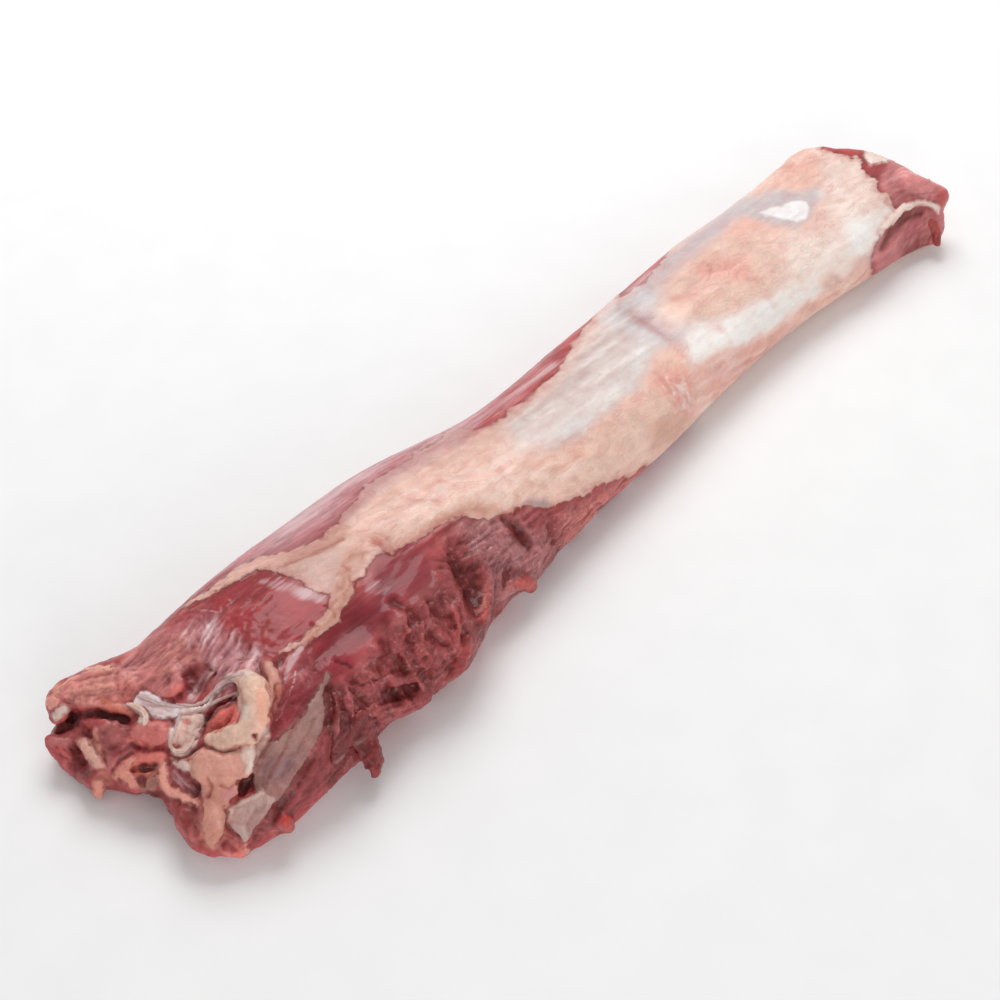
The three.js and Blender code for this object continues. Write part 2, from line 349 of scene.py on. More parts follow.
# Lumps joined to the body: (blend, flatness, [(u, v, lift, radius), ...]). u, v are pixels, lift and
# radius are millimetres. Flatness 1 is round, and more presses the lump flat as the camera sees it.
BLADE_LUMPS = [
    # flap, cheek, rib ends
    (4, 1.5, [(140, 690, -6, 10), (115, 688, -5, 10), (90, 690, -5, 9), (70, 695, -5, 7.5),
            (60, 700, -5, 6)]),
    (2.5, 1.2, [(56, 718, -1.5, 4), (63, 713, -1.5, 4.4)]),
    (3, 1.0, [(54, 742, 0, 5), (60, 748, 0, 6), (68, 756, 0, 6.5)]),
    (3, 1.0, [(72, 762, 0, 6), (84, 772, 0, 6), (94, 778, -1, 5)]),
    (2.5, 1.4, [(82, 742, 0, 3.6), (89, 750, 0.6, 4.6), (96, 762, 0.6, 4.2)]),
    (4, 1.2, [(110, 732, 0, 8), (116, 746, 0, 9), (114, 762, -1, 7)]),
    # tongue, the folded flap under it and the rim of its window
    (2.2, 1.5, [(126, 737, 0.4, 3.5), (138, 733, 1.6, 5.5), (152, 734, 2, 6), (166, 735, 1, 5)]),
    (2.2, 1.4, [(136, 756, 0, 3.4), (150, 757, 0.6, 4), (162, 758, 0, 3.6)]),
    (2, 1.8, [(115, 776, 0.5, 3), (121, 770, 1.6, 4.5), (129, 762, 2, 4.5), (136, 756, 1.2, 3)]),
    (2, 2.2, [(122, 779, 1, 4), (134, 783, 1.2, 5), (149, 783, 0.8, 6), (160, 779, 0, 5)]),
    (1.6, 1.4, [(162, 762, 0.6, 2.4), (161, 772, 1.6, 3), (164, 783, 2, 3.2), (171, 791, 2, 3)]),
    (1.6, 1.4, [(171, 791, 2, 3), (181, 796, 1.8, 2.6), (191, 799, 1.4, 2.4), (199, 805, 0.6, 2)]),
    (2.5, 1.2, [(176, 775, -1, 5), (186, 784, -1, 6), (195, 788, -1, 5)]),
    # fat mass with its lobes, low fat, dark band and raw tip
    (4, 1.3, [(190, 764, 0.4, 5), (212, 764, 1.8, 9), (230, 762, 2, 9), (244, 757, 1.4, 7)]),
    (4, 1.2, [(214, 778, 1.6, 7.5), (226, 788, 1.6, 7.5), (222, 802, 1.2, 6.5)]),
    (2, 1.0, [(248, 746, 1.6, 4.4), (251, 760, 1.8, 4.2), (248, 773, 1.2, 3.8)]),
    (4, 1.2, [(206, 803, 0.8, 6), (213, 816, 1.4, 8), (215, 832, 0.8, 7)]),
    (3, 1.1, [(182, 806, 0, 6), (190, 820, 0, 8), (200, 838, 0, 7), (212, 848, 0, 5)]),
    (2, 1.0, [(217, 845, 0, 4), (229, 847, 1, 5), (243, 850, 0.5, 4)]),
    # the curled roll with its tail, and the flesh inside it
    (1.5, 1.0, [(232, 676, 1, 2.8), (245, 678, 2.6, 4.8), (255, 688, 3.6, 6.2), (259, 704, 4, 6.6),
            (258, 719, 3.8, 6.6)]),
    (2.5, 1.1, [(258, 719, 3.8, 6.6), (249, 732, 3.4, 6.4), (234, 738, 3, 6), (218, 741, 2.4, 5),
            (205, 744, 1.6, 3.6)]),
    (1.5, 1.4, [(247, 700, 1.5, 5), (248, 714, 1.5, 5.5), (240, 727, 1.5, 5)]),
    (2, 1.3, [(212, 725, 0, 3.4), (223, 716, 0.4, 5), (233, 710, 0.2, 4.4)]),
    (2, 1.2, [(203, 744, 1.4, 3), (190, 752, 1, 2.6), (174, 758, 0.6, 2)]),
    # ridge beside the roll, red lump above it, and the clean-cut plate
    (2, 1.2, [(267, 662, 0, 2.6), (272, 678, 1, 3.6), (274, 692, 1.2, 3.4), (271, 706, 0.6, 2.6)]),
    (2.5, 1.2, [(160, 698, -0.6, 2.6), (172, 692, 0.8, 3.8), (180, 682, 0.6, 3.4), (172, 668, -0.4, 2.8)]),
    (2.0, 3.2, [(268, 796, 0.8, 5), (256, 804, 1.6, 7), (245, 813, 2, 8), (242, 827, 1.6, 7),
            (246, 838, 0.6, 4)]),
]
FLANK_LUMPS = [
    (4, 1.2, [(478, 560, -0.5, 3.4), (486, 578, 0.8, 4.4), (487, 598, 1, 4.6), (482, 620, 0, 4)]),
    (4, 1.3, [(372, 680, -0.5, 4), (392, 680, 0.6, 4.4), (412, 681, 0.8, 4.2), (426, 686, 0, 3.6)]),
    (4, 1.3, [(360, 716, -0.6, 3.6), (382, 714, 0.6, 4.6), (404, 708, 0.8, 4.6), (426, 697, -0.4, 4)]),
    (4, 1.2, [(396, 616, -0.5, 4), (402, 634, 0.6, 4.5), (398, 652, 0, 4)]),
    (4, 1.2, [(424, 612, -0.5, 4), (422, 632, 0.6, 4.5), (416, 652, 0.2, 4.5)]),
    (4, 1.2, [(462, 606, -0.5, 4), (458, 626, 0.6, 4.5), (452, 646, 0.2, 4)]),
    (2.5, 1.0, [(345, 684, -0.5, 2.8), (349, 700, 0.6, 3.4), (353, 718, 0.6, 3.6), (355, 732, -0.4, 2.8)]),
    (2.5, 1.0, [(333, 698, -0.5, 2.6), (336, 714, 0.4, 3), (337, 730, 0, 2.8)]),
    # ragged bits of the lower edge
    (2.5, 1.3, [(500, 590, -1.5, 4), (514, 583, -0.6, 5), (526, 580, -0.2, 4.6), (531, 588, 0, 3.2)]),
    (1.8, 1.2, [(277, 813, -1.5, 3), (283, 820, 0, 4.2), (288, 827, 0, 3.6)]),
    (1.8, 1.1, [(93, 777, -0.5, 3.6), (97, 785, 0.4, 3.8), (99, 794, 0.4, 2.8)]),
]
RUMP_LUMPS = [
    (4, 1.0, [(796, 166, -8, 7), (809, 160, -8, 7.5), (824, 157, -7, 7)]),
    (4, 1.0, [(905, 182, -3, 7), (925, 190, -3, 7), (938, 196, -4, 7)]),
    (1.2, 1.3, [(870, 262, -0.8, 1.8), (873, 248, -0.2, 2), (882, 232, 0.2, 2), (893, 217, 0.4, 2),
            (905, 208, 0.2, 1.8)]),
    (1.2, 1.3, [(905, 208, 0.2, 1.8), (918, 204, 0, 1.6), (932, 203, -0.4, 1.5)]),
    # crumbs of fat along the cap's near edge
    (2.0, 1.2, [(846, 284, -0.4, 2.2), (854, 277, 0.2, 2.8), (862, 270, 0, 2.4), (869, 262, -0.2, 1.8)]),
    (2.0, 1.2, [(822, 296, -0.8, 2), (830, 290, 0, 2.4), (837, 288, -0.4, 2)]),
    (2.0, 1.0, [(790, 322, -0.8, 2), (800, 318, -0.2, 2.4), (806, 314, -0.6, 1.8)]),
    (2.0, 1.0, [(756, 352, -0.8, 2), (764, 346, -0.4, 2.2)]),
]

# Tags and strips that hang free, each a closed piece of its own:
# name: (colour, unevenness in mm, [(flatness, [(u, v, lift, radius), ...]), ...]).
TAGS = {
    "hang_strip": ((124, 46, 46), 1.6, [
        (2.4, [(350, 704, -1.5, 6), (358, 724, 0, 8), (366, 742, 1, 7.6), (373, 758, 1.6, 7),
                (377, 770, 1.6, 5)]),
    ]),
    "hang_flap": ((112, 46, 46), 1.6, [(2.4, [(344, 722, -1, 6), (342, 740, 0.4, 6),
            (337, 756, 0.6, 4.4)])]),
    "edge_lobe": ((150, 60, 58), 1.6, [(1.8, [(466, 642, -1.5, 3.4), (463, 658, -0.6, 3.6),
            (455, 671, -0.2, 3.8), (446, 678, -0.4, 3)])]),
    "rump_tag": ((160, 72, 68), 1.3, [(1.5, [(931, 222, -0.5, 3), (936, 233, 0.6, 3.4),
            (937, 242, 0.8, 2.8)])]),
}

# Deep hollows that are cut out: (blend, [(u, v, lift, radius), ...]).
HOLLOWS = [
    # crevice under the blade flap, cleft under the cartilage, gap under the folded flap
    (2.2, [(68, 718, -1, 2.2), (78, 714, -1.6, 2.6), (94, 713, -1.8, 2.8), (110, 717, -1.8, 2.8),
            (124, 720, -1.2, 2)]),
    (1.5, [(57, 730, -0.6, 1.6), (68, 727, -1.4, 1.8), (78, 719, -2.4, 2)]),
    (2.2, [(138, 798, -4, 4.4), (150, 801, -5, 5.4), (160, 803, -4, 4.4)]),
    # inside the roll, and the cleft beside the fat mass
    (1.2, [(201, 728, -0.8, 2), (207, 718, -1.4, 2), (218, 708, -1.8, 1.8), (234, 700, -1.8, 1.6)]),
    (2.5, [(241, 790, 1, 2), (246, 784, 1, 2.4), (251, 778, 1, 2)]),
    # the large hole of the torn flank, and the recess above it
    (4.5, [(374, 699, 1.4, 2), (387, 696, 0.4, 3), (401, 692, 0.4, 3), (414, 688, 1.4, 2)]),
    (5.5, [(454, 560, 1.6, 2.6), (466, 574, 1.6, 3.8), (474, 590, 1.8, 3.2), (474, 604, 2, 2.4)]),
    # recess under the rump end's lip
    (2.0, [(882, 250, 0.8, 2), (892, 234, 0.4, 2.6), (905, 219, 0.4, 2.6), (922, 213, 0.6, 2.2)]),
]


def sculpt(clay):
    """Joins the lumps to the clay and cuts the hollows out of it."""
    for blend, flatness, spots in BLADE_LUMPS + FLANK_LUMPS + RUMP_LUMPS:
        flat = None if flatness == 1.0 else (TO_CAMERA, flatness)
        clay.shape(chain_at(spots), flat, blend, False)
    for blend, spots in HOLLOWS:
        clay.shape(chain_at(spots), None, blend, True)


# ---------------------------------------------------------------- the skin
BOTTOM_BLOCK = 3  # cells of the flat underside that are merged into one, each way
BOTTOM_BAND = 0.3  # mm over the floor gap that still counts as the underside
BLOCK_ROW = 100000  # more than the blocks along Y, so that each block has a number of its own
BROAD_STEPS = 16  # times the normals are averaged for the broad shape
SEEN_FROM, SEEN_TO = -0.12, 0.08  # cosines between which a point comes into the camera's view
BARELY_SEEN = 0.02
STATION = 10.0  # mm between the sections that the wrap angle is measured in
CORE_HEIGHT = 0.4  # of a section's height


def merge_underside(points, quads, cells):
    """Merges blocks of the flat underside's points, which need no fine mesh."""
    flat = points[:, 2] < FLOOR_GAP + BOTTOM_BAND
    rim = np.unique(quads[~flat[quads].all(1)])
    flat[rim] = False
    block = cells[:, :2] // BOTTOM_BLOCK
    key = np.where(flat, block[:, 0] * BLOCK_ROW + block[:, 1], -1 - np.arange(len(points)))
    _, first, target = np.unique(key, return_index=True, return_inverse=True)
    quads = target[quads]
    sides = sum((quads != np.roll(quads, 1, 1)).T.astype(int))
    alone = np.array([len(set(q)) for q in quads[sides < 4]])
    kept = np.concatenate([quads[sides == 4], quads[sides < 4][alone == 3]])
    twisted = (kept[:, 0] == kept[:, 2]) | (kept[:, 1] == kept[:, 3])
    return points[first], kept[~twisted]


def split_quads(points, quads):
    """Triangles, cut along each quad's shorter diagonal."""
    a, b, c, d = quads.T
    across = [np.linalg.norm(points[p] - points[q], axis=1) for p, q in ((a, c), (b, d))]
    short = (across[0] <= across[1])[:, None]
    one = np.where(short, np.stack([a, b, c], -1), np.stack([a, b, d], -1))
    two = np.where(short, np.stack([a, c, d], -1), np.stack([b, c, d], -1))
    faces = np.concatenate([one, two])
    whole = (faces[:, 0] != faces[:, 1]) & (faces[:, 1] != faces[:, 2]) & (faces[:, 2] != faces[:, 0])
    return faces[whole]


def refine(points, faces, chosen):
    """Splits the chosen triangles in four, and their neighbours so that no gap opens."""
    count = len(points)
    sides = np.sort(faces[:, [[0, 1], [1, 2], [2, 0]]], axis=2)
    keys, which = np.unique(sides[..., 0] * count + sides[..., 1], return_inverse=True)
    which = which.reshape(-1, 3)
    cut = np.zeros(len(keys), bool)
    cut[which[chosen]] = True
    number = np.full(len(keys), -1)
    number[cut] = count + np.arange(cut.sum())
    middle = (points[keys[cut] // count] + points[keys[cut] % count]) / 2
    mids = number[which]
    cuts = (mids >= 0).sum(1)
    out = [faces[cuts == 0], mids[cuts == 3]]
    for k in range(3):
        near, far = (k + 1) % 3, (k + 2) % 3
        full = cuts == 3
        out.append(np.stack([faces[full, k], mids[full, k], mids[full, far]], -1))
        one = (cuts == 1) & (mids[:, k] >= 0)
        out.append(np.stack([faces[one, k], mids[one, k], faces[one, far]], -1))
        out.append(np.stack([mids[one, k], faces[one, near], faces[one, far]], -1))
        two = (cuts == 2) & (mids[:, far] < 0)
        out.append(np.stack([mids[two, k], faces[two, near], mids[two, near]], -1))
        out.append(np.stack([faces[two, k], mids[two, k], mids[two, near]], -1))
        out.append(np.stack([faces[two, k], mids[two, near], faces[two, far]], -1))
    return np.concatenate([points, middle]), np.concatenate(out)


def facing(points, faces):
    """How far each triangle faces the camera: the cosine."""
    a, b, c = (points[faces[:, k]] for k in range(3))
    across = np.cross(b - a, c - a)
    across /= np.maximum(np.linalg.norm(across, axis=1, keepdims=True), TINY)
    sight = EYE - a
    sight /= np.linalg.norm(sight, axis=1, keepdims=True)
    return (across * sight).sum(1)


class Skin:
    """The sculpted surface and what is painted on it."""

    def __init__(self, points, faces, relaxed=2):
        self.points, self.faces = points, faces
        sides = faces[:, [[0, 1], [1, 2], [2, 0]]].reshape(-1, 2)
        self.edges = sides
        self.degree = np.maximum(np.bincount(sides.ravel(), minlength=len(points)), 1)
        self.relax(relaxed, 0.5)
        self.refresh()
        self.settle()
        self.channel = {}
        self.rise = np.zeros(len(points))

    def average(self, values):
        """Each point's mean over its neighbours."""
        a, b = self.edges.T
        count = len(self.points)
        out = [
            (np.bincount(a, c[b], count) + np.bincount(b, c[a], count)) / self.degree
            for c in np.atleast_2d(values.T)
        ]
        return out[0] if values.ndim == 1 else np.stack(out, -1)

    def relax(self, times, amount):
        """Evens the surface out."""
        for _ in range(times):
            self.points = self.points + amount * (self.average(self.points) - self.points)

    def spread(self, values, times):
        """Blurs values over the surface."""
        for _ in range(times):
            values = 0.5 * values + 0.5 * self.average(values)
        return values

    def refresh(self):
        """Works out the normals."""
        p, q = self.points, self.faces
        across = np.cross(p[q[:, 1]] - p[q[:, 0]], p[q[:, 2]] - p[q[:, 0]])
        normals = np.zeros_like(p)
        for corner in range(3):
            for axis in range(3):
                normals[:, axis] += np.bincount(q[:, corner], across[:, axis], len(p))
        self.normals = normals / np.maximum(np.linalg.norm(normals, axis=1, keepdims=True), TINY)

    def settle(self):
        """Notes where each point is before the relief: its pixel, whether it is seen, its wrap angle."""
        p = self.points
        self.spots = p.copy()
        self.pixels = to_pixels(p)
        broad = self.spread(self.normals, BROAD_STEPS)
        broad /= np.maximum(np.linalg.norm(broad, axis=1, keepdims=True), TINY)
        self.broad = broad
        sight = (EYE - p) / np.linalg.norm(EYE - p, axis=1, keepdims=True)
        self.seen = smooth((broad * sight).sum(1), SEEN_FROM, SEEN_TO)
        middle, core = self.middle_line()
        turn = np.degrees(np.arctan2(p[:, 2] - core, middle - p[:, 1]))
        self.turn = np.where(turn < -90, turn + 360, turn)  # -Y is 0, top 90, +Y 180, bottom 270

    def middle_line(self):
        """Y and Z of the middle of each point's section."""
        p = self.points
        stations = np.arange(BOX_LOW[0], BOX_HIGH[0] + STATION, STATION)
        bins = np.clip(((p[:, 0] - stations[0]) / STATION).astype(int), 0, len(stations) - 1)
        middle, core = np.zeros(len(stations)), np.zeros(len(stations))
        for i in range(len(stations)):
            inside = p[bins == i]
            if len(inside):
                middle[i] = (inside[:, 1].min() + inside[:, 1].max()) / 2
                core[i] = CORE_HEIGHT * inside[:, 2].max()
        place = stations + STATION / 2
        return np.interp(p[:, 0], place, middle), np.interp(p[:, 0], place, core)

    def tint(self, near, colour, share):
        """Mixes a colour into the meat and the coat of some points."""
        for name in ("meat", "coat"):
            held = self.channel[name]
            held[near] += (colour - held[near]) * share[:, None]

    def push(self, height):
        """Moves the points along their normals."""
        self.points = self.points + self.normals * height[:, None]


# ---------------------------------------------------------------- outlines and lines in pixels
def inside_outline(spots, outline):
    """Signed distance to a closed outline, above 0 inside."""
    outline = np.array(outline, float)
    nearest = np.full(len(spots), 1e9)
    odd = np.zeros(len(spots), bool)
    for a, b in zip(outline, np.roll(outline, -1, 0)):
        along = b - a
        t = np.clip((spots - a) @ along / max(along @ along, TINY), 0, 1)
        nearest = np.minimum(nearest, np.linalg.norm(spots - a - t[:, None] * along, axis=1))
        if a[1] != b[1]:
            crosses = (a[1] > spots[:, 1]) != (b[1] > spots[:, 1])
            odd ^= crosses & (spots[:, 0] < a[0] + (spots[:, 1] - a[1]) * along[0] / along[1])
    return np.where(odd, nearest, -nearest)


def rounded(outline, times=2):
    """The outline with its corners cut off."""
    outline = np.array(outline, float)
    for _ in range(times):
        after = np.roll(outline, -1, 0)
        outline = np.stack([0.75 * outline + 0.25 * after, 0.25 * outline + 0.75 * after], 1).reshape(-1, 2)
    return outline


def line_gap(spots, line):
    """Distance to a line of (u, v, half width), and the half width there."""
    line = np.array(line, float)
    best = np.full(len(spots), 1e9)
    width = np.ones(len(spots))
    for a, b in zip(line[:-1], line[1:]):
        along = (b - a)[:2]
        t = np.clip((spots - a[:2]) @ along / max(along @ along, TINY), 0, 1)
        gap = np.linalg.norm(spots - a[:2] - t[:, None] * along, axis=1)
        closer = gap < best
        best = np.where(closer, gap, best)
        width = np.where(closer, a[2] + (b[2] - a[2]) * t, width)
    return best, width


# ---------------------------------------------------------------- colours of the photograph
def linear(colour):
    """An sRGB colour of 0 to 255 as linear light."""
    c = np.array(colour, float) / 255
    return np.where(c <= 0.04045, c / 12.92, ((c + 0.055) / 1.055) ** 2.4)


CREAM = linear((240, 191, 175))
PEACH = linear((236, 194, 178))
PINK_FAT = linear((230, 176, 162))
BRIGHT_PINK = linear((242, 178, 164))
ROSE_FAT = linear((232, 166, 152))
PALE_FAT = linear((246, 216, 205))
SILVER = linear((214, 189, 183))
# Paler silverskin, partly a painted highlight along the cap's ridge.
PALE_SILVER_AND_HIGHLIGHT = linear((222, 207, 203))
# A painted highlight: the white of the light reflected on wet silverskin.
PAINTED_HIGHLIGHT_WHITE = linear((247, 239, 239))
# Satin fat, which over the cap also stands for painted sheen.
SATIN_FAT_AND_SHEEN = linear((248, 231, 225))
LILAC = linear((212, 197, 198))
LILAC_BAND = linear((205, 180, 180))
LILAC_EDGE = linear((208, 156, 154))
GREY_FILM = linear((206, 188, 187))
TAN = linear((212, 160, 140))
TRIANGLE_TAN = linear((212, 166, 154))
BRANCH_TAN = linear((208, 152, 134))
OLD_TAN = linear((206, 150, 134))
WHITE_FAT = linear((234, 204, 192))
# Fat of the blade end's mass, also painted as a highlight on the low fat's edge.
MASS_FAT_AND_HIGHLIGHT = linear((228, 160, 142))
LOW_FAT = linear((210, 138, 120))
ROLL_CREAM = linear((238, 194, 172))
ROLL_ORANGE = linear((244, 176, 150))
RIM_PINK = linear((244, 164, 148))
STRIP_PEACH = linear((218, 164, 148))
CARTILAGE = linear((222, 200, 190))
PLATE_GREY = linear((194, 158, 152))
PLATE_EDGE = linear((222, 188, 176))
SILVERSKIN = linear((146, 102, 98))
SILVERSKIN_LIGHT = linear((164, 122, 116))
MEAT = linear((166, 70, 72))
BRIGHT_MEAT = linear((160, 52, 56))
PALE_MEAT = linear((196, 116, 114))
# Lilac meat: a film-covered tone of the muscle, and painted sheen where it lies along the far side.
LILAC_MEAT_AND_SHEEN = linear((192, 126, 130))
# Dark meat: a darker tone of the muscle in blotches and on the unseen sides, and painted shade in gaps,
# clefts and under the rump end's lip.
DARK_MEAT_AND_SHADE = linear((142, 60, 62))
VIOLET_MEAT = linear((140, 46, 54))
TORN_MEAT = linear((154, 70, 71))
# The darkest meat: painted shade in crevices, pits and recesses, and dark patches over the torn meat.
DEEP_MEAT_AND_SHADE = linear((100, 36, 36))
RED_MEAT = linear((182, 72, 70))
FLESH = linear((204, 112, 106))
TAG_PINK = linear((222, 140, 124))
FLAP_PINK = linear((214, 136, 128))
FLAP_PEACH = linear((236, 160, 142))
FLAP_ORANGE = linear((206, 112, 94))
RIB_RED = linear((180, 88, 86))
DUSTY_MEAT = linear((176, 100, 97))
GREY_WINDOW = linear((150, 96, 84))
RAW_PINK = linear((212, 116, 108))
WINDOW_MEAT = linear((160, 74, 78))
BAND_RED = linear((142, 56, 52))
WINDOW_RED = linear((234, 116, 104))
TAG_RED = linear((178, 60, 56))
BROWN_RIDGE = linear((210, 146, 130))
BROWN_MEAT = linear((176, 98, 86))
RUMP_MEAT = linear((206, 130, 128))
CHINE_MEAT = linear((172, 82, 82))
FILM = linear((220, 186, 188))
BLOOD = linear((150, 44, 42))
RECESS = linear((190, 108, 110))
PEBBLE_MEAT = linear((172, 106, 108))
LIT_RIM = linear((184, 84, 76))
GREY_MAUVE = linear((176, 146, 146))
WEB = linear((250, 226, 228))
LOOP_FILM = linear((244, 204, 192))
STRIP_VIOLET = linear((138, 96, 104))

# ---------------------------------------------------------------- regions seen in the photograph
# The fat cap with its silverskin. Where it runs past the outline it wraps over the edge.
CAP = [
    (446, 431), (472, 429), (484, 427), (499, 418), (518, 406), (531, 395), (546, 384), (556, 374),
            (561, 364),
    (571, 346), (581, 333), (591, 320), (597, 300), (615, 288), (622, 298), (634, 290), (646, 278),
            (657, 266),
    (667, 255), (672, 230), (760, 150), (819, 130), (820, 149), (832, 151), (843, 157), (856, 159),
            (866, 169),
    (879, 180), (879, 188), (888, 196), (893, 200), (897, 209), (899, 213), (890, 226), (880, 237),
            (875, 248),
    (870, 258), (870, 268), (890, 300), (720, 430), (660, 470), (645, 467), (632, 475), (620, 478),
            (605, 483),
    (590, 494), (577, 500), (565, 504), (554, 509), (538, 508), (524, 505), (507, 514), (490, 517),
            (463, 516),
    (450, 520), (440, 525), (431, 532), (421, 540), (407, 543), (398, 547), (392, 554), (384, 552),
            (377, 554),
    (365, 571), (354, 579), (354, 594), (342, 614), (340, 619), (323, 633), (307, 645), (276, 657),
            (288, 646),
    (298, 641), (303, 634), (313, 625), (323, 615), (328, 606), (330, 594), (318, 591), (305, 586),
            (294, 579),
    (281, 575), (270, 571), (258, 573), (244, 578), (236, 584), (220, 591), (205, 598),
    (180, 607), (200, 597), (220, 581), (240, 566), (258, 558), (280, 551), (300, 548), (325, 537),
            (336, 525),
    (340, 513), (354, 504), (365, 484), (392, 467), (420, 451),
]

# Coat colours inside it: (colour, softness in pixels, outline).
COAT_PATCHES = [
    # near half: peach and cream fat
    (PEACH, 22, [(340, 500), (440, 445), (500, 425), (520, 455), (590, 470), (520, 520), (440, 530),
            (380, 560), (300, 560)]),
    (CREAM, 16, [(355, 520), (420, 465), (480, 450), (520, 470), (470, 500), (400, 525), (360, 545)]),
    # silverskin with its lilac fold, a paler strip along its ridge that is partly painted highlight, and
    # the band along the far edge
    (SILVER, 14, [(501, 421), (548, 388), (575, 352), (600, 322), (640, 300), (662, 340), (640, 380),
            (604, 408), (581, 432), (548, 447), (518, 450)]),
    (PALE_SILVER_AND_HIGHLIGHT, 9, [(548, 447), (560, 432), (600, 402), (628, 374), (640, 344), (650, 352),
            (640, 385), (604, 412), (581, 434)]),
    (LILAC, 12, [(600, 318), (620, 296), (650, 278), (686, 292), (700, 320), (690, 345), (655, 345),
            (625, 332)]),
    (GREY_FILM, 8, [(612, 308), (636, 300), (652, 314), (640, 326), (620, 324)]),
    (LILAC_BAND, 8, [(640, 288), (660, 262), (690, 236), (722, 212), (740, 202), (742, 216), (722, 236),
            (700, 254), (678, 272), (660, 296)]),
    # far half: peach and pink fat, and satin fat that is partly painted sheen, around the painted white
    # highlight
    (PEACH, 14, [(655, 312), (662, 285), (700, 255), (730, 240), (780, 240), (772, 290), (735, 318),
            (700, 322), (672, 330)]),
    (PINK_FAT, 9, [(675, 300), (690, 286), (706, 290), (700, 306), (682, 310)]),
    (ROSE_FAT, 10, [(696, 272), (712, 260), (748, 256), (752, 276), (722, 284), (704, 282)]),
    (SATIN_FAT_AND_SHEEN, 7, [(684, 336), (700, 324), (741, 310), (777, 292), (812, 268), (822, 290), (800, 308),
            (781, 322), (745, 345), (714, 352), (695, 368), (686, 350)]),
    (GREY_FILM, 6, [(724, 212), (744, 198), (770, 192), (800, 190), (824, 186), (829, 193), (816, 206),
            (811, 220), (796, 228), (770, 224), (742, 216)]),
    (PALE_FAT, 14, [(819, 150), (862, 158), (880, 180), (895, 205), (870, 255), (840, 280), (820, 240),
            (824, 200)]),
    # the painted highlight, where the light is reflected on the wet silverskin
    (PAINTED_HIGHLIGHT_WHITE, 1.8, [(760, 213), (770, 208), (783, 205), (792, 201), (805, 203), (809, 210),
            (808, 219), (797, 222), (786, 219), (777, 217), (766, 216)]),
    (SATIN_FAT_AND_SHEEN, 9, [(846, 222), (884, 208), (898, 206), (884, 230), (870, 256), (848, 256)]),
    (PALE_FAT, 14, [(790, 232), (840, 226), (848, 262), (800, 292), (772, 296)]),
    (PINK_FAT, 9, [(852, 264), (880, 256), (880, 285), (858, 290)]),
    # near edge, with the bright pink spot
    (ROSE_FAT, 9, [(700, 368), (726, 352), (760, 342), (796, 320), (800, 340), (740, 400), (716, 408),
            (706, 392)]),
    (BRIGHT_PINK, 7, [(652, 380), (668, 372), (680, 368), (694, 384), (697, 402), (688, 418), (674, 408),
            (660, 394)]),
    (PEACH, 14, [(590, 440), (640, 410), (672, 392), (668, 430), (640, 462), (604, 480), (572, 490)]),
    (TAN, 10, [(654, 420), (688, 416), (676, 440), (650, 452)]),
    (TAN, 7, [(380, 538), (420, 520), (460, 507), (500, 506), (500, 516), (462, 516), (430, 532),
            (392, 552)]),
    (OLD_TAN, 3.5, [(388, 545), (420, 534), (450, 516), (462, 514), (430, 534), (408, 545), (390, 554)]),
    (GREY_MAUVE, 5, [(520, 508), (530, 500), (546, 500), (556, 506), (532, 513)]),
    # far edge, the triangle and the two branches
    (LILAC_EDGE, 7, [(330, 512), (340, 500), (362, 480), (392, 464), (430, 442), (452, 428), (476, 426),
            (470, 440), (436, 456), (396, 480), (366, 504), (344, 524)]),
    (TRIANGLE_TAN, 6, [(262, 572), (300, 552), (332, 545), (348, 548), (344, 580), (330, 596),
            (300, 586), (280, 576)]),
    (BRANCH_TAN, 4, [(332, 594), (338, 572), (346, 552), (362, 546), (368, 552), (354, 580), (342, 612),
            (322, 634), (298, 648), (318, 620)]),
    (BRANCH_TAN, 3, [(222, 590), (262, 566), (300, 550), (330, 538), (346, 524), (350, 534), (334, 546),
            (300, 557), (264, 571), (230, 590)]),
]

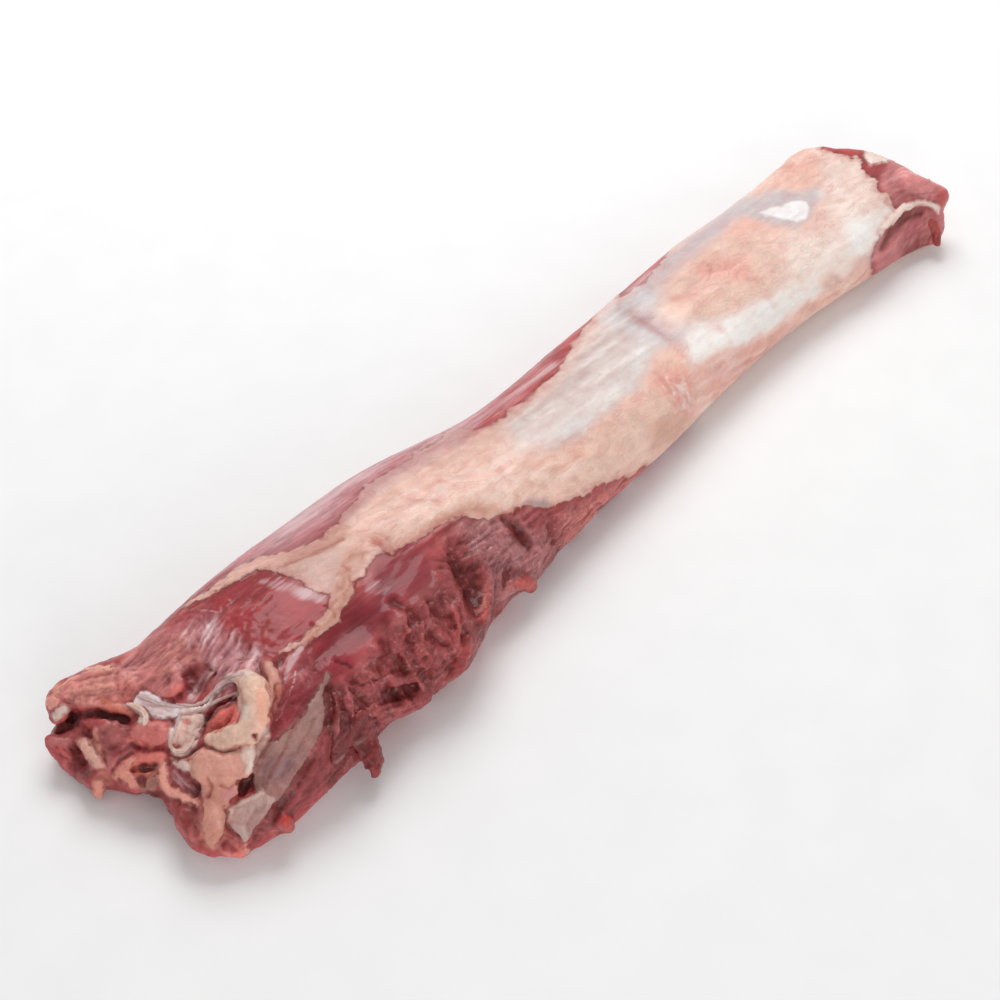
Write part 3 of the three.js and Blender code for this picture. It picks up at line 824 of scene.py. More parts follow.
# Colours of bare meat: (colour, softness, outline).
MEAT_PATCHES = [
    # far side and the blade end's muscles, their lilac partly painted sheen
    (LILAC_MEAT_AND_SHEEN, 14, [(190, 590), (262, 535), (330, 480), (440, 425), (500, 400), (440, 448), (390, 470),
            (338, 518), (300, 548), (225, 570)]),
    (BRIGHT_MEAT, 8, [(209, 596), (243, 577), (270, 567), (285, 590), (315, 588), (327, 600), (320, 620),
            (300, 637), (265, 662), (235, 648), (212, 615)]),
    (LILAC_MEAT_AND_SHEEN, 12, [(180, 628), (205, 618), (235, 640), (262, 650), (258, 684), (225, 690), (190, 668)]),
    (PALE_MEAT, 10, [(112, 672), (150, 634), (186, 628), (206, 650), (180, 680), (150, 700), (120, 694)]),
    # slivers along the far edge
    (RED_MEAT, 7, [(482, 420), (520, 385), (548, 362), (560, 366), (546, 384), (518, 406), (499, 420)]),
    (RED_MEAT, 4, [(556, 372), (565, 340), (585, 315), (596, 316), (581, 334), (571, 348)]),
    (RED_MEAT, 4, [(620, 305), (640, 272), (668, 250), (668, 258), (645, 280)]),
    (RED_MEAT, 5, [(819, 148), (850, 150), (880, 165), (866, 170), (843, 158)]),
    # bare muscle under the cap
    (VIOLET_MEAT, 7, [(377, 553), (392, 556), (407, 545), (420, 548), (432, 560), (437, 575), (420, 592),
            (400, 600), (372, 600)]),
    (VIOLET_MEAT, 9, [(330, 620), (356, 600), (400, 600), (390, 625), (340, 650), (305, 660)]),
    (VIOLET_MEAT, 8, [(305, 644), (335, 636), (366, 640), (360, 672), (320, 672)]),
    # torn flank, with its lit rims painted lighter and painted shade in its recesses
    (TORN_MEAT, 10, [(437, 575), (440, 535), (463, 520), (524, 508), (560, 510), (650, 470), (640, 520),
            (540, 620), (470, 700), (380, 790), (320, 790), (335, 690), (372, 640), (410, 605)]),
    (PEBBLE_MEAT, 9, [(456, 522), (500, 518), (530, 526), (548, 548), (540, 576), (516, 600), (494, 600),
            (490, 566), (470, 548)]),
    (LIT_RIM, 4, [(478, 572), (486, 575), (490, 600), (486, 622), (478, 620), (481, 598)]),
    (LIT_RIM, 4, [(462, 650), (468, 656), (458, 676), (446, 684), (444, 677), (456, 666)]),
    (LIT_RIM, 3, [(508, 584), (516, 578), (526, 572), (537, 584), (532, 595), (518, 592)]),
    (FLESH, 9, [(560, 512), (600, 492), (645, 466), (660, 470), (600, 530), (565, 548)]),
    (DEEP_MEAT_AND_SHADE, 5, [(454, 556), (466, 562), (480, 586), (482, 602), (470, 602), (460, 586), (450, 566)]),
    (DEEP_MEAT_AND_SHADE, 4, [(508, 518), (518, 522), (534, 546), (526, 552), (514, 536)]),
    # rump end
    (RUMP_MEAT, 4, [(890, 160), (878, 180), (880, 190), (890, 200), (898, 210), (911, 203), (927, 202),
            (945, 215), (960, 190), (930, 170)]),
    (RIB_RED, 6, [(936, 186), (952, 186), (946, 214), (934, 208)]),
    (RECESS, 5, [(870, 262), (880, 240), (898, 217), (915, 208), (945, 208), (945, 250), (885, 275)]),
    # painted shadow under the rump end's lip
    (DARK_MEAT_AND_SHADE, 4, [(905, 246), (920, 239), (930, 238), (930, 256), (900, 256)]),
]

# The darkest meat colours, laid with a rise below 0, paint shade into the gaps, clefts and hollows that the
# rise dips.
# Patches with a rise of their own: (colour, 1 fat or -1 meat, softness, rise in mm, outline).
# The blade end's top, with the dark gap in it, its shade painted in.
TOP_PATCHES = [
    (PALE_MEAT, -1, 8, 0.0, [(112, 668), (150, 634), (186, 628), (206, 650), (184, 684), (166, 702),
            (130, 700)]),
    (DARK_MEAT_AND_SHADE, -1, 4, -1.6, [(183, 668), (196, 662), (212, 664), (216, 676), (204, 692), (190, 696),
            (182, 688)]),
    (DEEP_MEAT_AND_SHADE, -1, 3, -2.6, [(192, 676), (202, 678), (200, 690), (190, 692)]),
    (RAW_PINK, -1, 2.5, 1.0, [(160, 698), (168, 690), (178, 680), (184, 686), (180, 694), (170, 700)]),
    (BLOOD, -1, 1.2, -0.8, [(158, 699), (172, 698), (182, 692), (184, 696), (172, 702), (160, 702)]),
]

# Flap.
FLAP_PATCHES = [
    (FLAP_PINK, -1, 4, 0.8, [(54, 700), (66, 682), (84, 675), (122, 670), (140, 676), (132, 700),
            (132, 716), (112, 712), (96, 706), (76, 706)]),
    (FLESH, -1, 4, 0.5, [(114, 682), (132, 682), (136, 700), (128, 706), (116, 700)]),
    (FLAP_PEACH, 1, 2.2, 1.0, [(81, 668), (98, 665), (120, 664), (118, 669), (104, 673), (90, 674),
            (82, 672)]),
    (FLAP_PEACH, 1, 2.2, 1.0, [(48, 702), (54, 690), (64, 680), (78, 674), (76, 678), (66, 684),
            (58, 694), (54, 704)]),
    (RIM_PINK, 1, 1.2, 1.8, [(47, 702), (52, 697), (60, 699), (58, 706), (50, 710), (47, 707)]),
    (FLAP_PEACH, -1, 1.6, 0.9, [(80, 688), (92, 685), (110, 684), (118, 687), (104, 688), (90, 689)]),
    (FLAP_ORANGE, -1, 4, 1.4, [(96, 697), (110, 697), (124, 706), (131, 716), (120, 716), (106, 709)]),
]

# Cartilage, the fold under it with painted shade in the crevice below, and the rib ends.
RIB_PATCHES = [
    (CARTILAGE, 1, 1.6, 1.2, [(52, 713), (60, 704), (67, 706), (71, 712), (63, 719), (54, 722)]),
    (RIB_RED, -1, 2, 0.4, [(53, 723), (64, 719), (78, 711), (73, 720), (61, 730), (54, 733)]),
    (DARK_MEAT_AND_SHADE, -1, 2.4, -1.2, [(56, 733), (66, 726), (76, 717), (84, 710), (98, 710), (116, 715),
            (131, 718), (130, 723), (114, 721), (98, 717), (86, 717), (76, 722), (62, 734)]),
    (DEEP_MEAT_AND_SHADE, -1, 1.6, -1.6, [(96, 711), (114, 716), (126, 719), (114, 720), (98, 716)]),
    (RIB_RED, -1, 2, 0.0, [(62, 736), (72, 727), (84, 719), (93, 724), (90, 736), (76, 739)]),
    (RED_MEAT, -1, 2.5, 0.5, [(82, 722), (90, 724), (90, 733), (82, 734)]),
    (DARK_MEAT_AND_SHADE, -1, 3, -0.6, [(70, 744), (78, 746), (86, 760), (96, 776), (94, 782), (80, 778), (66, 764)]),
    (RIB_RED, -1, 2, 0.9, [(48, 745), (60, 745), (72, 756), (72, 764), (62, 758), (52, 750)]),
    (DUSTY_MEAT, -1, 2, 1.0, [(46, 741), (55, 735), (70, 737), (76, 742), (70, 748), (58, 746), (49, 746)]),
    (STRIP_PEACH, 1, 3, 0.8, [(73, 741), (87, 737), (93, 742), (99, 755), (108, 767), (101, 771),
            (92, 766), (83, 754)]),
    (DUSTY_MEAT, -1, 2.5, -0.2, [(96, 722), (131, 722), (129, 732), (124, 740), (132, 748), (134, 755),
            (121, 764), (112, 776), (106, 764), (100, 746)]),
    (DARK_MEAT_AND_SHADE, -1, 4, -0.6, [(104, 742), (124, 742), (128, 752), (116, 762), (108, 756)]),
    (TAG_PINK, -1, 1.2, 0.9, [(91, 729), (95, 723), (98, 738), (104, 756), (101, 759), (94, 743)]),
    (BROWN_MEAT, -1, 2.2, 0.2, [(93, 773), (104, 767), (113, 774), (112, 783), (106, 790), (96, 784)]),
    (TAG_PINK, 1, 2, 0.6, [(93, 780), (105, 782), (107, 792), (103, 801), (97, 800), (93, 789)]),
]

# Tongue, folded flap and its window.
TONGUE_PATCHES = [
    (FLESH, -1, 2, 1.4, [(123, 740), (134, 727), (146, 721), (169, 719), (170, 737), (167, 748),
            (150, 748), (138, 747)]),
    (RED_MEAT, -1, 1.6, 0.9, [(136, 746), (150, 746), (168, 744), (168, 749), (150, 749), (138, 748)]),
    (BLOOD, -1, 1.4, -0.6, [(122, 741), (138, 748), (154, 748), (168, 748), (168, 751), (152, 752),
            (136, 751)]),
    (RAW_PINK, -1, 2, 0.6, [(136, 752), (167, 752), (165, 763), (148, 764), (136, 770), (131, 762)]),
    (GREY_WINDOW, 1, 1.8, 0.0, [(136, 768), (146, 765), (161, 762), (161, 790), (150, 791), (140, 791),
            (131, 784)]),
    (TAG_PINK, 1, 1.8, 1.4, [(112, 777), (119, 766), (132, 756), (137, 759), (131, 770), (134, 780),
            (140, 787), (133, 789), (122, 784)]),
    (BROWN_MEAT, -1, 3, -0.4, [(137, 771), (146, 768), (158, 766), (158, 778), (142, 782)]),
    (DEEP_MEAT_AND_SHADE, -1, 2.4, -0.6, [(134, 777), (142, 774), (148, 780), (144, 788), (136, 785)]),
    (FLAP_ORANGE, -1, 1.2, -0.4, [(132, 770), (137, 768), (141, 773), (134, 779)]),
    (DEEP_MEAT_AND_SHADE, -1, 2.0, -1.0, [(137, 793), (150, 792), (159, 791), (160, 801), (150, 800), (142, 799)]),
    (BAND_RED, -1, 2.5, 0.0, [(171, 799), (190, 802), (200, 811), (201, 836), (206, 848), (194, 850),
            (184, 836), (177, 816)]),
    (WINDOW_MEAT, -1, 1.6, -0.9, [(168, 768), (180, 769), (192, 777), (202, 781), (202, 797), (188, 794),
            (176, 789), (168, 778)]),
    (BLOOD, -1, 1.6, -0.9, [(169, 783), (178, 784), (184, 791), (174, 790)]),
    (RIM_PINK, 1, 1.6, 1.3, [(158, 761), (166, 760), (167, 776), (172, 786), (184, 791), (198, 799),
            (200, 807), (184, 801), (169, 798), (159, 785)]),
]

# Fat mass and its lobes.
MASS_PATCHES = [
    (MASS_FAT_AND_HIGHLIGHT, 1, 2, 0.9, [(186, 763), (196, 755), (204, 748), (214, 750), (226, 752), (240, 746),
            (251, 741), (257, 748), (253, 768), (248, 779), (240, 781), (238, 784), (240, 792),
            (232, 803), (222, 809), (212, 804), (203, 798), (200, 790), (202, 782), (191, 779)]),
    (LOW_FAT, 1, 4, 0.9, [(203, 784), (216, 782), (236, 786), (236, 796), (226, 808), (212, 806),
            (204, 798)]),
    (RUMP_MEAT, 1, 3, 1.1, [(222, 790), (232, 786), (238, 793), (230, 801), (222, 798)]),
    (WHITE_FAT, 1, 1.8, 1.3, [(241, 746), (252, 740), (256, 748), (253, 768), (247, 776), (243, 764)]),
    (WHITE_FAT, 1, 1.6, 0.9, [(170, 764), (178, 760), (192, 761), (192, 776), (184, 772), (176, 768)]),
    (LOW_FAT, 1, 3, 0.8, [(201, 792), (212, 798), (224, 806), (230, 820), (226, 838), (214, 850),
            (205, 846), (200, 828)]),
    # a painted highlight along the low fat's lit edge, in the fat mass's colour
    (MASS_FAT_AND_HIGHLIGHT, 1, 3, 1.0, [(206, 796), (216, 802), (224, 814), (222, 830), (212, 824)]),
    (DEEP_MEAT_AND_SHADE, -1, 2.4, -0.8, [(240, 782), (248, 780), (255, 776), (253, 786), (246, 794), (239, 793)]),
    (RED_MEAT, -1, 1.6, -0.3, [(228, 799), (242, 792), (252, 788), (242, 800), (228, 807)]),
    (RAW_PINK, -1, 2.2, 0.4, [(218, 838), (230, 834), (242, 844), (252, 850), (244, 859), (222, 857)]),
    (BLOOD, -1, 2, 0.0, [(222, 842), (232, 840), (240, 850), (232, 854), (222, 850)]),
    (TAG_PINK, 1, 1.4, 0.9, [(240, 845), (249, 844), (252, 851), (246, 856)]),
]

# Roll, the flesh inside it and the ridge beside it.
ROLL_PATCHES = [
    (WINDOW_RED, -1, 1.6, 0.0, [(203, 740), (206, 728), (214, 718), (224, 708), (238, 702), (240, 722),
            (228, 727), (214, 734)]),
    (DEEP_MEAT_AND_SHADE, -1, 1.4, -0.8, [(201, 724), (208, 716), (222, 706), (236, 699), (237, 702), (224, 709),
            (211, 719), (203, 727)]),
    (ROLL_CREAM, 1, 1.6, 1.6, [(222, 674), (240, 670), (256, 672), (265, 681), (269, 700), (270, 724),
            (263, 732), (258, 741), (246, 745), (226, 751), (207, 746), (204, 740), (213, 733),
            (226, 728), (238, 722), (240, 705), (239, 690), (237, 680), (228, 678)]),
    (ROLL_ORANGE, 1, 3, 1.9, [(257, 684), (264, 690), (269, 706), (267, 724), (259, 734), (257, 716),
            (257, 700)]),
    (WHITE_FAT, 1, 2.4, 1.6, [(240, 704), (250, 703), (252, 718), (243, 723), (239, 714)]),
    (WHITE_FAT, 1, 1.6, 1.9, [(222, 675), (240, 671), (254, 672), (250, 678), (234, 679)]),
    (OLD_TAN, 1, 2.0, 0.5, [(204, 745), (214, 749), (222, 752), (236, 749), (250, 742), (250, 745),
            (236, 753), (222, 756), (208, 750)]),
    (BLOOD, -1, 1.0, -1.2, [(253, 731), (257, 732), (258, 739), (254, 738)]),
    (OLD_TAN, 1, 0.9, -1.0, [(168, 757), (180, 758), (192, 755), (200, 748), (201, 751), (192, 758),
            (180, 761), (168, 760)]),
    (BROWN_RIDGE, 1, 1.8, 0.9, [(262, 662), (272, 659), (280, 668), (282, 688), (278, 706), (270, 719),
            (268, 700), (266, 680)]),
    (BROWN_MEAT, -1, 2, 0.3, [(273, 684), (281, 682), (281, 702), (272, 716), (270, 706)]),
    (DARK_MEAT_AND_SHADE, -1, 1.6, -0.5, [(256, 668), (262, 667), (263, 677), (259, 674)]),
    (DARK_MEAT_AND_SHADE, -1, 1.6, -0.4, [(272, 660), (280, 658), (288, 652), (284, 664), (276, 668)]),
]

# Muscle, silverskin strip, cut plate and the side beyond them.
SIDE_PATCHES = [
    (VIOLET_MEAT, -1, 5, 0.2, [(303, 652), (330, 664), (322, 684), (311, 704), (300, 717), (286, 732),
            (274, 738), (270, 729), (284, 706), (294, 684)]),
    (SILVERSKIN, 1, 1.8, 0.3, [(327, 668), (331, 680), (325, 691), (326, 715), (323, 735), (312, 752),
            (302, 768), (290, 786), (279, 803), (268, 800), (254, 795), (252, 772), (256, 752),
            (264, 738), (276, 739), (290, 728), (302, 716), (312, 700), (318, 688)]),
    (SILVERSKIN_LIGHT, 1, 5, 0.4, [(316, 694), (324, 700), (322, 728), (306, 742), (290, 748),
            (276, 756), (262, 752), (272, 740), (294, 726), (308, 712)]),
    (STRIP_VIOLET, 1, 5, 0.3, [(270, 760), (286, 756), (300, 756), (288, 776), (272, 786), (262, 776)]),
    (PLATE_EDGE, 1, 2, 0.8, [(262, 728), (268, 726), (270, 740), (260, 752), (256, 760), (256, 746)]),
    (PLATE_GREY, 1, 1.2, 0.8, [(226, 811), (242, 802), (262, 792), (268, 794), (277, 799), (268, 812),
            (258, 822), (252, 834), (247, 845), (238, 837), (230, 827)]),
    (PLATE_EDGE, 1, 1.0, 1.2, [(226, 810), (242, 800), (262, 790), (266, 793), (256, 799), (240, 806),
            (231, 813), (233, 824), (229, 824)]),
    (SILVERSKIN_LIGHT, 1, 3, 0.8, [(250, 812), (264, 802), (272, 802), (258, 824), (250, 840), (244, 828)]),
    (DEEP_MEAT_AND_SHADE, -1, 5, -0.3, [(326, 684), (338, 684), (342, 716), (334, 740), (324, 736)]),
    (DARK_MEAT_AND_SHADE, -1, 3, -0.6, [(323, 738), (335, 735), (336, 768), (316, 790), (296, 814), (272, 830),
            (254, 844), (249, 840), (262, 822), (280, 802), (296, 780), (311, 757)]),
    (DEEP_MEAT_AND_SHADE, -1, 4, -1.0, [(298, 772), (316, 752), (322, 758), (308, 780), (292, 804), (276, 818),
            (282, 798)]),
    (TAG_RED, -1, 2, 0.4, [(278, 820), (284, 815), (294, 817), (296, 830), (286, 833)]),
]

# Knot of fat where the branches part.
KNOT_PATCHES = [
    (FLAP_ORANGE, 1, 1.6, 1.6, [(369, 541), (375, 537), (382, 540), (386, 547), (379, 545), (373, 547)]),
]

# Rump end: a pale bit of fat on the far edge, and the pale lip over the cut face.
RUMP_PATCHES = [
    (PALE_FAT, 1, 1.6, 0.6, [(862, 152), (872, 151), (884, 156), (890, 161), (880, 164), (868, 165)]),
    (PALE_FAT, 1, 1.2, 1.0, [(882, 230), (890, 214), (902, 205), (918, 201), (932, 201), (940, 206),
            (941, 216), (937, 211), (926, 206), (912, 207), (900, 214), (889, 228)]),
]

# Membranes that lie over all this.
MEMBRANE_PATCHES = [
    (WEB, 1, 1.2, 0.5, [(130, 702), (134, 694), (142, 692), (156, 697), (166, 704), (182, 704),
            (198, 706), (208, 700), (214, 690), (222, 682), (228, 678), (226, 684), (216, 696),
            (208, 706), (200, 714), (180, 716), (170, 719), (158, 720), (149, 716), (142, 706),
            (134, 712)]),
    (LOOP_FILM, 1, 1.6, 0.9, [(168, 738), (172, 722), (181, 711), (200, 711), (207, 716), (199, 734),
            (195, 748), (184, 757), (174, 756), (169, 748)]),
    (TAG_PINK, 1, 1.4, 0.6, [(180, 718), (192, 719), (190, 723), (180, 722)]),
    (FLAP_ORANGE, -1, 1.0, -0.6, [(174, 745), (181, 743), (183, 748), (176, 750)]),
    (WHITE_FAT, 1, 1.2, 1.6, [(126, 704), (134, 703), (141, 706), (147, 712), (149, 720), (147, 726),
            (140, 726), (138, 720), (141, 715), (132, 711)]),
]

# All of them, laid one over the other.
RAISED_PATCHES = [
    *TOP_PATCHES,
    *FLAP_PATCHES,
    *RIB_PATCHES,
    *TONGUE_PATCHES,
    *MASS_PATCHES,
    *ROLL_PATCHES,
    *SIDE_PATCHES,
    *KNOT_PATCHES,
    *RUMP_PATCHES,
    *MEMBRANE_PATCHES,
]

# Fibres and satin lines that run one way: (colour, strength, ridge in mm, angle in degrees from the
# frame's right towards its foot, pitch and length in pixels, softness, outline).
STREAKS = [
    # fat cap, its satin lines partly painted sheen
    (SATIN_FAT_AND_SHEEN, 0.4, 0.05, -34, 3, 70, 14, [(500, 425), (560, 375), (600, 320), (650, 300), (662, 340),
            (640, 385), (604, 412), (560, 445), (518, 452)]),
    (PALE_FAT, 0.4, 0.08, -34, 4, 50, 20, [(350, 520), (430, 455), (520, 440), (600, 470), (520, 510),
            (440, 530), (380, 555)]),
    (SATIN_FAT_AND_SHEEN, 0.5, 0.06, -30, 3, 60, 12, [(690, 330), (745, 306), (800, 276), (850, 215), (885, 205),
            (872, 262), (800, 305), (740, 345), (700, 368)]),
    (SATIN_FAT_AND_SHEEN, 0.35, 0.1, -30, 3.4, 34, 8, [(690, 372), (740, 340), (790, 312), (800, 336), (740, 396),
            (700, 425)]),
    (SATIN_FAT_AND_SHEEN, 0.5, 0.25, 60, 3.4, 9, 5, [(656, 382), (672, 374), (690, 382), (694, 404), (684, 416),
            (668, 402)]),
    (ROSE_FAT, 0.4, 0.1, -36, 3, 30, 10, [(590, 470), (650, 425), (690, 405), (664, 452), (610, 484)]),
    # film over the far side and the blade end's muscle
    (FILM, 0.5, 0.12, -36, 3, 60, 10, [(190, 592), (262, 535), (340, 478), (440, 424), (500, 400),
            (440, 450), (388, 470), (338, 516), (262, 552)]),
    (FILM, 0.85, 0.5, 119, 4.5, 44, 8, [(176, 634), (196, 620), (216, 614), (246, 640), (262, 652),
            (252, 668), (224, 674), (207, 698), (190, 704), (184, 686), (204, 664), (190, 648)]),
    # membranes, flaps and cut faces of the blade end
    (FILM, 0.6, 0.4, -42, 3, 30, 3, [(204, 702), (212, 690), (222, 680), (238, 680), (240, 698),
            (228, 702), (216, 708)]),
    (WHITE_FAT, 0.5, 0.3, 4, 2.6, 40, 3, [(140, 698), (170, 704), (200, 706), (204, 712), (180, 718),
            (150, 716)]),
    (WHITE_FAT, 0.5, 0.25, 100, 3, 26, 3, [(170, 726), (182, 712), (204, 712), (198, 734), (186, 748),
            (172, 744)]),
    (FLAP_PEACH, 0.35, 0.25, -38, 4, 22, 8, [(112, 672), (150, 638), (188, 630), (202, 650), (182, 684),
            (160, 700), (130, 698)]),
    (FLAP_PEACH, 0.35, 0.25, -8, 3.4, 40, 4, [(60, 700), (70, 684), (122, 672), (132, 700), (130, 714),
            (100, 704), (76, 704)]),
    (FLAP_PEACH, 0.35, 0.2, 60, 3, 16, 3, [(75, 742), (88, 739), (106, 766), (96, 768)]),
    # pale streaks painted as highlights in the flap's window
    (FILM, 0.4, 0.15, 40, 2.6, 20, 2, [(168, 768), (192, 778), (201, 783), (200, 794), (176, 788)]),
    # silverskin strip, plate and the side beyond them
    (SILVERSKIN_LIGHT, 0.6, 0.12, 121, 4, 70, 4, [(326, 670), (324, 732), (278, 798), (258, 788),
            (256, 754), (276, 738), (312, 702)]),
    (PLATE_EDGE, 0.35, 0.15, 124, 3, 60, 3, [(318, 740), (302, 768), (280, 796), (270, 790), (290, 764),
            (308, 744)]),
    (PLATE_EDGE, 0.25, 0.08, 118, 2.6, 24, 3, [(232, 812), (264, 794), (274, 800), (246, 838)]),
    (RED_MEAT, 0.25, 0.4, 122, 5, 50, 5, [(324, 742), (336, 736), (338, 766), (300, 812), (262, 838),
            (254, 838), (284, 802), (308, 762)]),
    (LILAC_MEAT_AND_SHEEN, 0.12, 0.1, 122, 4, 50, 3, [(304, 656), (328, 666), (300, 716), (276, 734), (294, 686)]),
    # rump end
    (RUMP_MEAT, 0.4, 0.15, -12, 3, 26, 4, [(884, 182), (890, 164), (930, 176), (948, 188), (942, 204),
            (900, 206)]),
    (STRIP_PEACH, 0.2, 0.12, -62, 3, 14, 3, [(874, 258), (886, 234), (904, 214), (936, 210), (938, 244),
            (900, 254)]),
    # torn flank
    (PALE_MEAT, 0.15, 0.35, -38, 4, 24, 8, [(458, 522), (560, 512), (640, 474), (600, 530), (520, 580),
            (490, 610), (450, 570)]),
    (LIT_RIM, 0.4, 0.8, 64, 7, 20, 10, [(344, 690), (400, 620), (440, 590), (480, 620), (440, 680),
            (386, 740), (344, 760)]),
]

# Whitish film on meat, and satin on the coat: (strength, softness, outline).
FILM_PATCHES = [
    (0.5, 14, [(250, 545), (330, 482), (440, 422), (500, 396), (440, 450), (392, 468), (340, 515),
            (300, 545)]),
    (0.55, 8, [(430, 436), (482, 410), (552, 352), (560, 368), (530, 398), (484, 430), (446, 440)]),
    (0.65, 5, [(250, 578), (282, 576), (306, 587), (330, 596), (327, 606), (300, 598), (272, 590)]),
    (0.45, 5, [(361, 573), (372, 570), (392, 586), (386, 594), (366, 598)]),
    (0.25, 14, [(190, 620), (215, 612), (260, 640), (262, 690), (215, 690), (185, 660)]),
    (0.25, 10, [(461, 520), (520, 512), (530, 556), (500, 580), (470, 548)]),
    # satin parts of the coat
    (0.95, 12, [(501, 421), (548, 388), (575, 352), (604, 312), (660, 262), (722, 214), (770, 190),
            (828, 186), (812, 222), (770, 226), (722, 236), (672, 284), (690, 300), (680, 340),
            (645, 385), (604, 412), (548, 449), (518, 450)]),
    (0.95, 10, [(684, 336), (741, 310), (812, 268), (846, 222), (890, 208), (868, 262), (800, 308),
            (745, 345), (698, 368)]),
    (0.5, 8, [(300, 648), (292, 660), (284, 677), (270, 690), (262, 670), (276, 655)]),
]

# Thin pale lines on the surface: (strength, [(u, v, half width), ...]).
FILM_LINES = [
    (0.9, [(296, 671, 0.8), (288, 698, 0.8), (276, 719, 1.2)]),
    (0.8, [(300, 648, 3), (292, 662, 3), (284, 677, 2)]),
    (0.6, [(240, 608, 1), (263, 588, 1.5), (280, 575, 1)]),
    (0.7, [(197, 610, 1), (210, 610, 1.2), (218, 613, 0.8)]),
]

